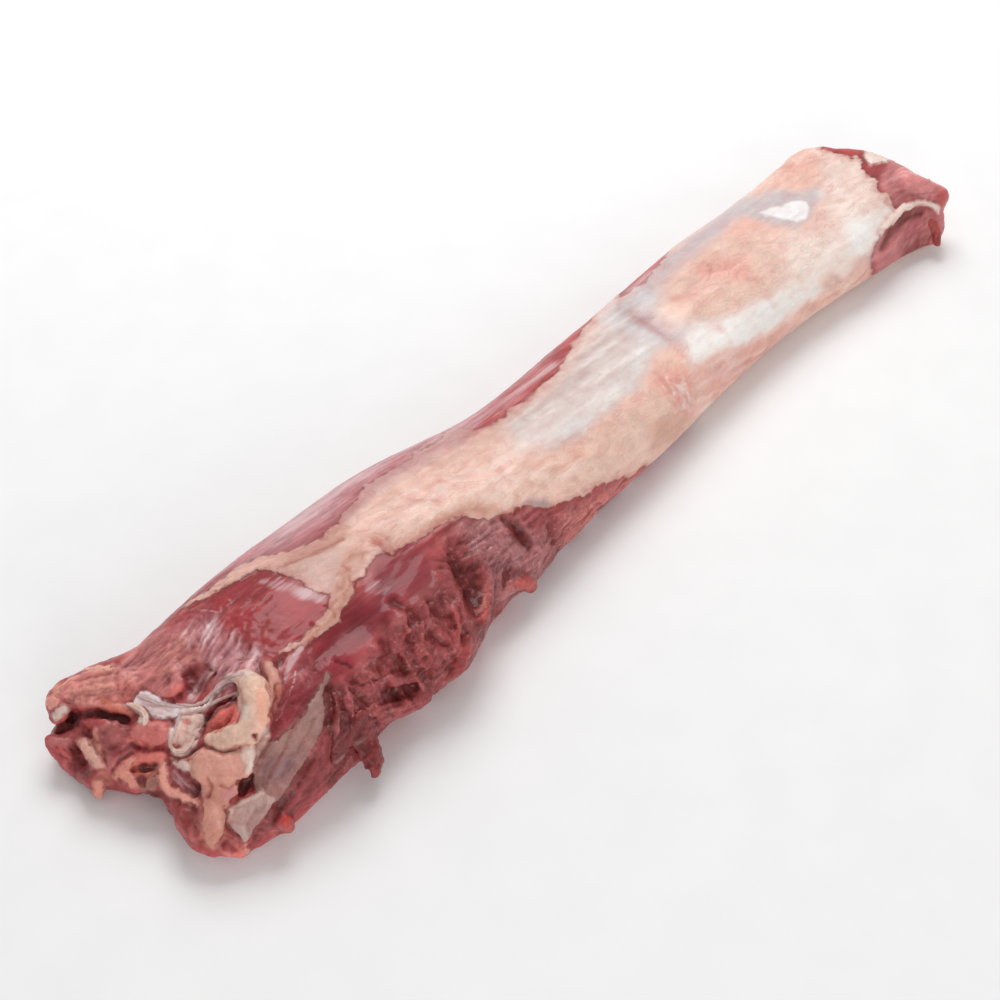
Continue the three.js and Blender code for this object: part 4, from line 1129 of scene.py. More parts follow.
# Creases, or ridges where the depth is negative: (depth in mm, redness, [(u, v, half width), ...]).
CREASES = [
    # fat cap: edges of its layers, veins and dents
    (0.36, 0.24, [(340, 529, 3.6), (319, 545, 3.6), (296, 554, 2.9), (270, 560, 2.2)]),
    (0.23, 0.17, [(319, 652, 2.9), (334, 650, 2.9), (348, 668, 2.9)]),
    (0.23, 0.03, [(621, 309, 3.6), (645, 324, 3.6), (668, 338, 3.6), (687, 357, 3.6), (696, 368, 3.6)]),
    (0.18, 0.07, [(718, 324, 3.6), (724, 334, 3.6), (729, 343, 3.6)]),
    (0.18, 0.07, [(768, 297, 3.6), (775, 306, 3.6), (781, 313, 3.6)]),
    (0.18, 0.00, [(829, 190, 3.6), (806, 182, 3.6)]),
    (0.18, 0.00, [(829, 190, 3.6), (846, 178, 3.6)]),
    (0.14, 0.00, [(829, 190, 3.6), (838, 204, 3.6)]),
    (0.14, 0.00, [(829, 190, 3.6), (818, 204, 2.9)]),
    (0.2, 0.7, [(704, 264, 1.0), (709, 268, 1.3), (713, 274, 1.0)]),
    (0.14, 0.32, [(745, 276, 2.2), (752, 280, 1.8), (758, 282, 1.8)]),
    (0.23, 0.21, [(656, 372, 2.9), (668, 384, 3.2), (680, 393, 3.2), (690, 404, 2.9)]),
    (0.18, 0.32, [(676, 404, 4.3), (682, 410, 3.6)]),
    (0.14, 0.21, [(622, 336, 5.4), (634, 340, 5.4)]),
    (0.14, 0.28, [(863, 212, 2.5), (867, 212, 2.5)]),
    (0.23, 0.24, [(832, 276, 3.2), (838, 279, 3.2)]),
    (0.27, 0.10, [(827, 284, 2.9), (833, 289, 2.9), (835, 293, 2.5)]),
    # the knot where the branches part
    (-1.4, 0.7, [(368, 541, 2), (376, 539, 2.4), (384, 545, 2), (390, 551, 1.6)]),
    # the two branches of the cap: a rope with folds across it
    (-0.8, 0.0, [(358, 560, 2.4), (348, 580, 2.2), (340, 604, 2.2), (324, 626, 2), (304, 642, 1.6)]),
    (0.5, 0.5, [(345, 566, 1), (352, 574, 1.2), (350, 582, 0.8)]),
    (0.5, 0.5, [(336, 588, 1), (342, 592, 1.2), (344, 598, 0.8)]),
    (0.5, 0.5, [(326, 606, 1), (334, 612, 1.2), (336, 618, 0.8)]),
    (0.5, 0.5, [(312, 624, 1), (320, 630, 1.2), (318, 636, 0.8)]),
    (-0.7, 0.0, [(344, 530, 2), (326, 541, 2), (300, 551, 2), (270, 563, 1.8), (240, 576, 1.6),
            (212, 590, 1.2)]),
    (0.5, 0.6, [(344, 538, 1), (326, 549, 1.2), (300, 558, 1.2), (276, 567, 1)]),
    # shallow folds of the cap's near half
    (0.14, 0.14, [(550, 446, 2.5), (565, 440, 2.5), (581, 431, 2.2)]),
    (0.27, 0.00, [(518, 462, 2.9), (540, 470, 3.2), (566, 466, 2.9), (581, 455, 2.5)]),
    (0.27, 0.00, [(524, 480, 2.9), (548, 488, 3.2), (572, 478, 2.5)]),
    (0.23, 0.00, [(500, 470, 2.9), (512, 486, 3.2), (516, 500, 2.5)]),
    (0.23, 0.00, [(440, 480, 2.9), (460, 488, 3.2), (476, 484, 2.5)]),
    (0.23, 0.00, [(398, 492, 2.9), (420, 500, 3.2), (440, 498, 2.5)]),
    (0.23, 0.14, [(501, 409, 2.5), (514, 412, 2.5), (526, 419, 2.2)]),
    # seams and folds of the blade end
    (1.5, 0.6, [(172, 758, 1.2), (186, 757, 1.6), (197, 749, 1.6)]),
    (0.9, 0.25, [(200, 746, 1.6), (212, 750, 2), (222, 754, 2.2), (234, 750, 2), (246, 743, 1.8),
            (256, 735, 1.5)]),
    (1.2, 0.4, [(206, 779, 2), (212, 788, 2.2), (208, 797, 2)]),
    (0.8, 0.3, [(222, 786, 1.8), (230, 788, 2), (236, 783, 1.6)]),
    (1.0, 0.5, [(226, 812, 1.5), (229, 826, 1.6), (238, 838, 1.6)]),
    (-0.7, 0.0, [(82, 690, 1.5), (95, 686, 1.6), (115, 687, 1.5)]),
    (0.6, 0.4, [(76, 681, 1.4), (96, 676, 1.4), (118, 671, 1.4)]),
    (1.2, 0.5, [(72, 744, 1.8), (76, 754, 2.2), (82, 764, 2)]),
    (0.8, 0.5, [(56, 748, 1.4), (62, 756, 1.4), (74, 760, 1.4)]),
    (1.0, 0.4, [(101, 750, 1.6), (106, 766, 1.8)]),
    (1.2, 0.5, [(131, 753, 1.5), (122, 761, 1.6), (113, 772, 1.6)]),
    (0.9, 0.3, [(268, 742, 1.6), (262, 752, 1.6), (256, 766, 1.6)]),
    (0.7, 0.2, [(300, 716, 1.6), (286, 744, 1.8), (270, 776, 1.6)]),
    (0.5, 0.0, [(314, 720, 1.4), (302, 744, 1.6), (284, 776, 1.4)]),
    (0.9, 0.5, [(273, 684, 1.6), (276, 700, 1.8), (270, 716, 1.6)]),
    (1.2, 0.5, [(188, 674, 4), (196, 682, 5), (192, 690, 4)]),
    (1.0, 0.3, [(206, 664, 3), (212, 672, 3)]),
    (0.6, 0.1, [(236, 640, 2), (222, 656, 2), (210, 676, 2)]),
    (0.6, 0.1, [(250, 646, 2), (240, 660, 2), (232, 672, 2)]),
    # soft pits and valleys of the torn flank
    (1.8, 0.5, [(453, 556, 6), (464, 574, 9), (470, 594, 8), (476, 612, 5)]),
    (2.2, 0.6, [(505, 517, 4), (518, 532, 5), (528, 546, 4)]),
    (1.4, 0.4, [(549, 527, 4), (553, 541, 4)]),
    (1.6, 0.4, [(430, 603, 3), (437, 614, 4)]),
    (2.4, 0.5, [(447, 615, 5), (454, 627, 4)]),
    (1.8, 0.5, [(411, 611, 4), (417, 621, 4)]),
    (2.2, 0.6, [(436, 636, 4), (444, 648, 5)]),
    (1.4, 0.4, [(427, 628, 3), (430, 638, 3)]),
    (2.2, 0.6, [(382, 642, 4), (388, 655, 4), (382, 668, 4)]),
    (1.3, 0.4, [(393, 602, 3), (402, 608, 3)]),
    (1.4, 0.4, [(407, 628, 3), (413, 642, 3)]),
    (1.8, 0.5, [(509, 571, 4), (504, 590, 4)]),
    (2.0, 0.5, [(329, 688, 3), (333, 704, 4), (328, 722, 4)]),
    (1.2, 0.5, [(338, 660, 2.5), (350, 667, 2.5)]),
    (1.6, 0.5, [(398, 660, 4), (405, 673, 3)]),
    (1.6, 0.5, [(353, 688, 3), (363, 702, 4)]),
    (1.8, 0.5, [(424, 660, 4), (432, 675, 4)]),
    (1.6, 0.5, [(464, 622, 4), (470, 640, 4)]),
    (1.4, 0.4, [(355, 681, 3), (372, 684, 3), (392, 672, 3)]),
    (1.2, 0.5, [(372, 720, 2.5), (392, 716, 2.5), (410, 710, 2.5)]),
    (1.4, 0.6, [(342, 704, 2), (342, 722, 2.5), (346, 740, 2.5)]),
    (1.0, 0.5, [(362, 736, 1.6), (370, 754, 1.8), (376, 768, 1.6)]),
]

# The torn flank.
TORN = [
    (437, 580), (434, 562), (442, 540), (463, 522), (497, 520), (524, 508), (554, 512), (590, 497),
            (650, 466), (660, 480),
    (540, 620), (470, 710), (384, 800), (330, 800), (322, 740), (335, 690), (350, 672), (374, 645),
            (402, 612), (424, 597),
]

# On the side away from the camera: where the coat ends, as (x, wrap angle).
BACK_EDGE = [(-330, 60), (-120, 70), (-40, 96), (30, 112), (70, 128), (110, 140), (200, 150), (290, 146),
        (330, 120)]
FRONT_EDGE = [(-330, 40), (20, 30), (60, -10), (110, -38), (330, -40)]


# ---------------------------------------------------------------- painting
FRAY_SIZE = 9.0  # mm: the size of the wandering of every outline
SOFT_FRAY = 2.0  # pixels by which soft outlines wander
STREAK_FRAY = 1.8
PATCH_FRAY = 1.3
PATCH_RAGS = 1.1  # pixels of finer wandering
RAG_SIZE = 4.5
CAP_FRAY = 3.0
CAP_NICKS = 1.8
NICK_SIZE = 4.0
TORN_SOFT = 8.0
BLADE_TORN = 0.5  # how torn the patches look
BLADE_UNTIL = -215.0  # X in mm
BLADE_BLOTCH, BLADE_PALE = 0.22, 0.25  # shares of the darker and paler blotches
FAT_COVER = 6.0  # cover of a patch of fat. A patch of meat has as much below 0
FILM_UNDER = 0.8  # share of the film that a patch hides
PATCH_RISE = 0.65
PATCH_EDGE = 0.4  # pixels added to each patch's softness, for its colour
PATCH_WALL = 2.4  # the same for its height
PILLOW_EDGE = 7.0  # pixels over which a patch swells
SEAM_DEPTH = 0.16  # mm
SEAM_WIDTH = 1.4  # pixels
SEAM_GAPS = 11.0  # mm between the places where a seam closes
RIB_PITCH = 34.0
UNSEEN_FILM = 0.75
UNSEEN_TORN = 0.15
RUMP_FAT_HEIGHT = 44.0  # where the coat ends on the rump end's unseen face
HOLLOW_SHADE = 0.3


def share_inside(spots, outline, soft):
    """1 inside an outline and 0 outside it, with a soft edge that many pixels wide each way."""
    return smooth(inside_outline(spots, outline), -soft, soft)


def towards(held, colour, share):
    """Some colours moved towards another by each point's share."""
    return held + (colour - held) * share[:, None]


def paint_seen(skin, fray):
    """Channels of the surface as the camera sees it."""
    spots = skin.pixels + fray * SOFT_FRAY
    count = len(spots)
    meat, coat = np.tile(MEAT, (count, 1)), np.tile(CREAM, (count, 1))
    for colour, soft, outline in MEAT_PATCHES:
        meat = towards(meat, colour, share_inside(spots, outline, soft))
    for colour, soft, outline in COAT_PATCHES:
        coat = towards(coat, colour, share_inside(spots, outline, soft))
    film, blood = np.zeros(count), np.zeros(count)
    for strength, soft, outline in FILM_PATCHES:
        film = np.maximum(film, strength * share_inside(spots, outline, soft))
    for strength, line in FILM_LINES:
        gap, width = line_gap(spots, line)
        film = np.maximum(film, strength * smooth(-gap, -2.2 * width, -0.4 * width))
    for _, red, line in CREASES:
        gap, width = line_gap(spots, line)
        blood = np.maximum(blood, red * smooth(-gap, -2.0 * width, 0))
    cover = inside_outline(skin.pixels, CAP) + CAP_FRAY * fray[:, 1]
    cover += CAP_NICKS * rough(skin.spots, NICK_SIZE, 2, 6)
    torn = share_inside(spots, TORN, TORN_SOFT)
    return {"meat": meat, "coat": coat, "film": film, "blood": blood, "cover": cover, "torn": torn}


def around(skin, outline, soft):
    """The seen points at and near an outline."""
    room = 2 * soft + 6
    low, high = np.min(outline, 0) - room, np.max(outline, 0) + room
    near = ((skin.pixels > low) & (skin.pixels < high)).all(1) & (skin.seen > BARELY_SEEN)
    return np.flatnonzero(near)


def lay_patch(skin, spots, seam, patch):
    """Lays one patch: its colour, cover and rise, and the seam at its edge."""
    colour, side, soft, rise, outline = patch
    channel = skin.channel
    near = around(skin, outline, soft)
    inside = inside_outline(spots[near], rounded(outline))
    seen = skin.seen[near]
    share = smooth(inside, -soft - PATCH_EDGE, soft + PATCH_EDGE) * seen
    wall = smooth(inside, -soft - PATCH_WALL, soft + PATCH_WALL) * seen
    skin.tint(near, colour, share)
    channel["film"][near] *= 1 - FILM_UNDER * share
    channel["torn"][near] += (BLADE_TORN - channel["torn"][near]) * share
    channel["cover"][near] += (side * FAT_COVER - channel["cover"][near]) * share
    pillow = PATCH_RISE * rise * (0.5 + 0.5 * smooth(inside, 0, PILLOW_EDGE))
    skin.rise[near] += (pillow - skin.rise[near]) * wall
    skin.rise[near] -= seam[near] * np.exp(-((inside / SEAM_WIDTH) ** 2))


def paint_blade(skin, fray):
    """Lays the patches one over the other, then blotches the blade end."""
    p = skin.spots
    ragged = wander(p, RAG_SIZE, 3, (2, 5))
    spots = skin.pixels + fray * PATCH_FRAY + ragged * PATCH_RAGS
    seam = SEAM_DEPTH * smooth(noise(p, SEAM_GAPS, 6), -0.2, 0.7) * skin.seen
    for patch in RAISED_PATCHES:
        lay_patch(skin, spots, seam, patch)
    end = np.flatnonzero((p[:, 0] < BLADE_UNTIL) & (skin.seen > BARELY_SEEN))
    blotch = smooth(rough(p[end], 8, 3, 6), 0.0, 1.1)
    pale = smooth(rough(p[end], 6, 3, 3), 0.1, 1.1)
    skin.tint(end, DARK_MEAT_AND_SHADE, BLADE_BLOTCH * blotch * skin.seen[end])
    skin.tint(end, RUMP_MEAT, BLADE_PALE * pale * skin.seen[end])


def paint_streaks(skin, fray):
    """Fibres and satin lines."""
    spots = skin.pixels + fray * STREAK_FRAY
    for colour, strength, ridge, angle, pitch, length, soft, outline in STREAKS:
        near = around(skin, outline, soft)
        share = share_inside(spots[near], rounded(outline), soft) * skin.seen[near]
        turn = math.radians(angle)
        heading = np.array([math.cos(turn), math.sin(turn)])
        along = spots[near] @ heading / length
        across = spots[near] @ np.array([-heading[1], heading[0]]) / pitch
        fibre = rough(np.stack([along, across, np.full(len(near), float(angle))], -1), 1.0, 2, 3)
        skin.tint(near, colour, share * strength * smooth(fibre, -0.3, 0.9))
        skin.rise[near] += ridge * share * fibre


def wrapped_cover(skin):
    """How far each unseen point lies inside the coat's two edges."""
    p, x = skin.spots, skin.spots[:, 0]
    sway = 9 * noise(p, (60, 40, 40), 3) + 4 * noise(p, 12, 4)
    back = np.interp(x, *np.array(BACK_EDGE, float).T) + sway
    front = np.interp(x, *np.array(FRONT_EDGE, float).T) + sway
    return np.minimum(back - skin.turn, skin.turn - front) * 1.4


def paint_unseen(skin, fray):
    """Channels of the sides that the camera doesn't see, by place along X and wrap angle."""
    p, x = skin.spots, skin.spots[:, 0]
    cover = wrapped_cover(skin)
    meat = towards(CHINE_MEAT, DARK_MEAT_AND_SHADE, smooth(rough(p, (70, 22, 22), 3, 5), -0.5, 0.7))
    meat = towards(meat, LILAC_MEAT_AND_SHEEN, 0.7 * smooth(noise(p, (90, 26, 26), 6), 0.1, 0.6))
    below = smooth(-skin.broad[:, 2], 0.55, 0.85)
    ribs = 0.5 + 0.5 * np.sin((x + 0.35 * p[:, 1] + 6 * noise(p, 30, 2)) * 2 * math.pi / RIB_PITCH)
    meat = towards(meat, LILAC_MEAT_AND_SHEEN, below * smooth(ribs, 0.5, 0.9) * 0.8)
    film = UNSEEN_FILM * smooth(noise(p, (80, 16, 16), 1), -0.05, 0.5)
    film = np.maximum(film, below * smooth(ribs, 0.45, 0.8) * 0.8)
    coat = towards(CREAM, PEACH, smooth(noise(p, 40, 7), -0.4, 0.4))
    end = smooth(skin.broad[:, 0], 0.5, 0.8) * smooth(x, 250, 290)
    marbling = smooth(ridged(p, (30, 16, 9), 3, 2), 0.62, 0.9)
    meat = towards(meat, RUMP_MEAT * 0.8, end)
    film = film * (1 - end) + UNSEEN_FILM * end * marbling
    end_cover = (p[:, 2] - RUMP_FAT_HEIGHT) * 1.8 + 3 * fray[:, 0]
    cover = np.where(end > 0.5, np.minimum(cover, end_cover), cover)
    zero = np.zeros(len(p))
    torn = zero + UNSEEN_TORN
    return {"meat": meat, "coat": coat, "film": film, "blood": zero, "cover": cover, "torn": torn}


def paint_hollows(skin, clay):
    """Paints shade into the deep hollows, and takes the film out of them."""
    channel = skin.channel
    for points, radii in clay.hollows:
        reach = radii.max() + 6
        low, high = points.min(0) - reach, points.max(0) + reach
        near = np.flatnonzero(((skin.spots > low) & (skin.spots < high)).all(1))
        deep = smooth(-chain_distance(skin.spots[near], points, radii), -1.4, 0.6)
        channel["meat"][near] = towards(channel["meat"][near], DEEP_MEAT_AND_SHADE, HOLLOW_SHADE * deep)
        channel["film"][near] *= 1 - deep


def mottle_tears(skin):
    """Darker and paler patches over the torn meat."""
    p, torn = skin.spots, skin.channel["torn"]
    meat = skin.channel["meat"]
    meat = towards(meat, DEEP_MEAT_AND_SHADE, 0.45 * torn * smooth(rough(p, (20, 10, 10), 3, 5), 0.0, 1.0))
    meat = towards(meat, RUMP_MEAT, 0.35 * torn * smooth(rough(p, (14, 7, 7), 3, 2), 0.1, 1.1))
    skin.channel["meat"] = meat


def paint(skin, clay):
    """Fills the skin's channels."""
    fray = wander(skin.spots, FRAY_SIZE, 3, (1, 4))
    seen, unseen = paint_seen(skin, fray), paint_unseen(skin, fray)
    for name in seen:
        share = skin.seen[:, None] if seen[name].ndim == 2 else skin.seen
        skin.channel[name] = unseen[name] + (seen[name] - unseen[name]) * share
    paint_blade(skin, fray)
    paint_hollows(skin, clay)
    paint_streaks(skin, fray)
    mottle_tears(skin)


# ---------------------------------------------------------------- relief
COAT_STEP = 0.5  # how far the fat stands over the meat
GRAIN_DEPTH = 0.25
WARP = 5.0  # how far the relief's noises are bent
CALM_BELOW = 0.6  # share of the relief that the underside lacks
CREASE_FRAY = 2.2  # pixels
CREASE_SOFT = 0.8  # pixels added to a crease's half width
# Painted shade and light: hollows darken and redden, crests lighten.
MEAT_HOLLOW_SHADE = np.array([0.85, 1.15, 1.15])  # how much of red, green and blue a hollow takes
COAT_HOLLOW_SHADE = np.array([0.35, 0.8, 0.85])
HOLLOW_SCALES = [(5, 1.1), (28, 0.4)]  # (times blurred, strength)
# the most painted light on a crest, and the most painted shade in a hollow
LEAST_HOLLOW, MOST_HOLLOW = -0.22, 0.55


def torn_relief(p, warp):
    """Soft swells, torn ridges and a fine crumb."""
    swell = rough(p + warp, (22, 13, 13), 2, 1)
    tear = ridged(p + warp, (15, 6, 6), 2, 2)
    crumb = rough(p, 3.2, 2, 4)
    return 1.4 * swell + 0.7 * tear + 0.14 * crumb


def relief(skin):
    """Moves the skin along its normals: fat over meat, patches, creases, tears and muscle grain."""
    p, torn = skin.spots, skin.channel["torn"]
    coat = smooth(skin.channel["cover"], -2.5, 3.5)
    bare = 1 - coat
    warp = np.stack([noise(p, 14, 2), noise(p, 14, 3), noise(p, 14, 5)], -1) * WARP
    height = COAT_STEP * (coat - 0.5) + skin.rise
    height += torn * bare * torn_relief(p, warp)
    height += (1 - torn) * bare * GRAIN_DEPTH * ridged(p + 0.4 * warp, (40, 6, 6), 3, 3)
    height += coat * (0.3 * rough(p, (22, 12, 12), 3, 6) + 0.1 * ridged(p + warp, (12, 7, 7), 2, 4))
    blade = 1 - smooth(p[:, 0], -240, -200)
    height += blade * (0.45 * rough(p + warp, 9, 3, 5) + 0.15 * ridged(p + warp, 4, 2, 6))
    dented = skin.pixels + CREASE_FRAY * wander(p, 7, 2, (6, 7))
    for depth, _, line in CREASES:
        gap, width = line_gap(dented, line)
        height -= skin.seen * depth * np.exp(-((gap / (width + CREASE_SOFT)) ** 2))
    below = smooth(-skin.broad[:, 2], 0.3, 0.8)
    above = smooth(p[:, 2], 0.6, 5)
    skin.push(height * above * (1 - CALM_BELOW * below))
    skin.points[:, 2] = np.maximum(skin.points[:, 2], FLOOR_GAP)
    skin.refresh()
    shade_hollows(skin)


def shade_hollows(skin):
    """Paints shade into what lies lower than its surroundings, darker and redder, and paints light onto
    crests.
    """
    channel = skin.channel
    depth = np.zeros(len(skin.points))
    for steps, strength in HOLLOW_SCALES:
        depth += strength * ((skin.spread(skin.points, steps) - skin.points) * skin.normals).sum(1)
    depth = np.clip(depth, LEAST_HOLLOW, MOST_HOLLOW)[:, None]
    channel["meat"] = np.clip(channel["meat"] * (1 - depth * MEAT_HOLLOW_SHADE), 0, 1)
    channel["coat"] = np.clip(channel["coat"] * (1 - depth * COAT_HOLLOW_SHADE), 0, 1)


# ---------------------------------------------------------------- materials
class Nodes:
    """Shorthand for building a material's node tree."""

    def __init__(self, name):
        self.material = bpy.data.materials.new(name)
        self.material.use_nodes = True
        self.tree = self.material.node_tree
        self.tree.nodes.clear()

    def fill(self, socket, value):
        """Links a socket, or gives it a value of its own."""
        if isinstance(value, bpy.types.NodeSocket):
            self.tree.links.new(value, socket)
        else:
            socket.default_value = value

    def add(self, kind, inputs=(), **settings):
        node = self.tree.nodes.new(kind)
        for key, value in settings.items():
            setattr(node, key, value)
        for key, value in dict(inputs).items():
            self.fill(node.inputs[key], value)
        return node

    def attribute(self, name, output="Fac"):
        return self.add("ShaderNodeAttribute", attribute_name=name).outputs[output]

    def math(self, operation, a, b=0.0):
        return self.add("ShaderNodeMath", {0: a, 1: b}, operation=operation).outputs[0]

    def span(self, value, low, high, to_low=0.0, to_high=1.0):
        """The value's range from low to high laid over another range, with an even curve."""
        inputs = {"Value": value, "From Min": low, "From Max": high, "To Min": to_low, "To Max": to_high}
        return self.add("ShaderNodeMapRange", inputs, interpolation_type="SMOOTHSTEP").outputs[0]

    def noise(self, vector, scale, detail=3.0, roughness=0.5, distortion=0.0):
        inputs = {"Vector": vector, "Scale": scale, "Detail": detail}
        inputs |= {"Roughness": roughness, "Distortion": distortion}
        return self.add("ShaderNodeTexNoise", inputs).outputs["Fac"]

    def stretch(self, vector, scale):
        return self.add("ShaderNodeMapping", {"Vector": vector, "Scale": scale}).outputs[0]

    def mix(self, share, a, b, blend="MIX"):
        """Mixes two colours."""
        node = self.add("ShaderNodeMix", data_type="RGBA", blend_type=blend)
        colours = [s for s in node.inputs if s.type == "RGBA"]
        for socket, value in zip((node.inputs[0], *colours), (share, a, b)):
            self.fill(socket, value)
        return [s for s in node.outputs if s.type == "RGBA"][0]

    def number(self, share, a, b):
        """Mixes two numbers."""
        return self.add("ShaderNodeMix", {0: share, 2: a, 3: b}, data_type="FLOAT").outputs[0]

    def scaled(self, colour, value):
        """A colour made lighter or darker by a number."""
        grey = self.add("ShaderNodeCombineColor", {0: value, 1: value, 2: value}).outputs[0]
        return self.mix(1.0, colour, grey, "MULTIPLY")

    def sway(self, value, pattern, amount):
        """A number moved up and down by a pattern around its middle."""
        swing = self.math("MULTIPLY", self.math("SUBTRACT", pattern, 0.5), amount)
        return self.math("ADD", value, swing)

    def sum(self, a, share_a, b, share_b):
        """Two patterns added in those shares."""
        return self.math("ADD", self.math("MULTIPLY", a, share_a), self.math("MULTIPLY", b, share_b))


def rgba(colour):
    return (*[float(c) for c in colour], 1.0)


# The meat's noises: (drawn out along the grain, scale, detail, roughness, distortion).
NOISES = {
    "streak": (True, 420.0, 4.0, 0.6, 0.3),
    "broad_streak": (True, 150.0, 3.0, 0.55, 0.2),
    "mottle": (False, 60.0, 5.0, 0.6, 0.0),
    "crumb": (False, 330.0, 6.0, 0.68, 0.4),
    "fine": (False, 900.0, 4.0, 0.6, 0.0),
    "blush": (False, 45.0, 6.0, 0.62, 0.5),
    "cloud": (False, 85.0, 6.0, 0.65, 0.4),
}
GRAIN_STRETCH = (0.09, 1.0, 1.0)
WRINKLE_STRETCH = (0.5, 1.0, 1.0)
WRINKLE_NOISE = (150.0, 4.0, 0.55, 0.7)
WRINKLE_WIDTH = 0.07
BUMP = {"Distance": 0.0011, "Strength": 0.9}
MEAT_SURFACE = {
    "Subsurface Weight": 0.22,
    "Subsurface Radius": (1.0, 0.35, 0.25),
    "Subsurface Scale": 0.003,
    "IOR": 1.4,
    "Specular IOR Level": 0.25,
    "Coat Weight": 0.24,
    "Coat Roughness": 0.09,
}


def meat_patterns(n):
    """The noises and painted channels that colour, gloss and bump share."""
    place = n.add("ShaderNodeTexCoord").outputs["Object"]
    grain = n.stretch(place, GRAIN_STRETCH)
    p = SimpleNamespace()
    for name, (along_grain, *shape) in NOISES.items():
        setattr(p, name, n.noise(grain if along_grain else place, *shape))
    for name in ("cover", "film", "torn", "blood"):
        setattr(p, name, n.attribute(name))
    folded = n.noise(n.stretch(place, WRINKLE_STRETCH), *WRINKLE_NOISE)
    p.wrinkle = n.span(n.math("ABSOLUTE", n.math("SUBTRACT", folded, 0.5)), 0.0, WRINKLE_WIDTH)
    p.satin = n.span(p.film, 0.15, 0.7)
    return p


def bare_colour(n, p):
    """Muscle: mottled, streaked where smooth and crumbly where torn, with painted glints flecked over the
    torn meat and whitish film over it.
    """
    meat = n.attribute("meat", "Color")
    bare = n.mix(n.span(p.mottle, 0.35, 0.68), n.scaled(meat, 0.88), n.scaled(meat, 1.1))
    smooth_meat = n.scaled(bare, n.span(p.streak, 0.3, 0.7, 0.88, 1.12))
    torn_meat = n.scaled(bare, n.span(p.crumb, 0.3, 0.72, 0.76, 1.26))
    # painted glints: pale flecks over the torn meat
    glint_flecks = n.span(n.math("MULTIPLY", p.crumb, p.torn), 0.58, 0.68, 0.0, 0.3)
    bare = n.mix(glint_flecks, n.mix(p.torn, smooth_meat, torn_meat), rgba(FILM))
    threads = n.sway(n.sway(p.film, p.broad_streak, 1.5), p.streak, 0.9)
    veil = n.math("MULTIPLY", n.span(threads, 0.25, 1.0, 0.0, 0.85), n.span(p.film, 0.0, 0.2))
    return n.mix(veil, bare, rgba(FILM))


def coat_colour(n, p):
    """Fat: blushed, clouded and finely wrinkled, but satin with long streaks where film is painted."""
    coat = n.attribute("coat", "Color")
    blush = n.math("MULTIPLY", n.span(p.blush, 0.45, 0.72, 0.0, 0.35), n.math("SUBTRACT", 1.0, p.satin))
    coat = n.mix(blush, coat, n.mix(0.5, coat, rgba(ROSE_FAT)))
    coat = n.scaled(coat, n.number(p.satin, n.span(p.cloud, 0.32, 0.68, 0.93, 1.03), 1.0))
    coat = n.scaled(coat, n.number(p.satin, n.span(p.wrinkle, 0.0, 1.0, 0.965, 1.01), 1.0))
    coat = n.scaled(coat, n.span(p.crumb, 0.3, 0.7, 0.96, 1.03))
    fat_streaks = n.span(p.broad_streak, 0.3, 0.7, 0.97, 1.02)
    satin_streaks = n.span(p.broad_streak, 0.3, 0.7, 0.94, 1.05)
    return n.scaled(coat, n.number(p.satin, fat_streaks, satin_streaks))


def coat_over(n, p, bare, coat):
    """The coat laid over the meat, ragged and thin at its edge: the colour, and the coat's share."""
    edge = n.sway(n.sway(p.cover, p.crumb, 5.0), p.fine, 1.6)
    over = n.span(edge, -0.9, 1.3)
    thin = n.math("MULTIPLY", n.span(edge, 0.0, 10.0, 0.75, 0.0), n.span(p.mottle, 0.35, 0.6, 0.35, 1.0))
    coat = n.mix(thin, coat, n.mix(0.45, rgba(OLD_TAN), bare))
    return n.mix(over, bare, coat), over


def meat_roughness(n, p, over):
    """Wet meat, wetter where it is torn, under duller fat."""
    meat = n.span(p.streak, 0.3, 0.7, 0.36, 0.5)
    torn = n.span(p.crumb, 0.3, 0.7, 0.22, 0.5)
    fat = n.span(p.crumb, 0.3, 0.7, 0.34, 0.5)
    return n.number(over, n.number(p.torn, meat, torn), fat)


def meat_bump(n, p, over):
    """The finest relief: streaks of muscle, crumbs of torn meat, the coat's folds and its edge."""
    meat = n.sum(p.streak, 0.25, p.broad_streak, 0.35)
    torn = n.sum(p.crumb, 1.3, p.fine, 0.6)
    folds = n.number(p.satin, n.sum(p.cloud, 0.8, p.wrinkle, 0.18), n.math("MULTIPLY", p.broad_streak, 0.5))
    coat = n.math("ADD", n.math("MULTIPLY", p.crumb, 0.5), folds)
    height = n.number(over, n.number(p.torn, meat, torn), n.math("ADD", coat, 0.5))
    return n.add("ShaderNodeBump", {"Height": height, **BUMP}).outputs[0]


def meat_material():
    """Raw meat and fat. The painted channels say which is where."""
    n = Nodes("raw_meat")
    p = meat_patterns(n)
    colour, over = coat_over(n, p, bare_colour(n, p), coat_colour(n, p))
    red = n.math("MULTIPLY", p.blood, n.span(p.crumb, 0.3, 0.6, 0.5, 1.0))
    colour = n.mix(red, colour, n.mix(0.55, colour, rgba(BLOOD)))
    painted = {"Base Color": colour, "Roughness": meat_roughness(n, p, over)}
    painted["Normal"] = meat_bump(n, p, over)
    surface = n.add("ShaderNodeBsdfPrincipled", painted | MEAT_SURFACE)
    n.add("ShaderNodeOutputMaterial", {"Surface": surface.outputs[0]})
    return n.material


# ---------------------------------------------------------------- meshes
def make_mesh(name, points, faces, material):
    mesh = bpy.data.meshes.new(name)
    faces = [list(dict.fromkeys(f)) for f in faces.tolist()]
    mesh.from_pydata((points * MM).tolist(), [], faces)
    mesh.polygons.foreach_set("use_smooth", np.ones(len(mesh.polygons), bool))
    mesh.materials.append(material)
    mesh.update()
    piece = bpy.data.objects.new(name, mesh)
    bpy.context.scene.collection.objects.link(piece)
    return piece


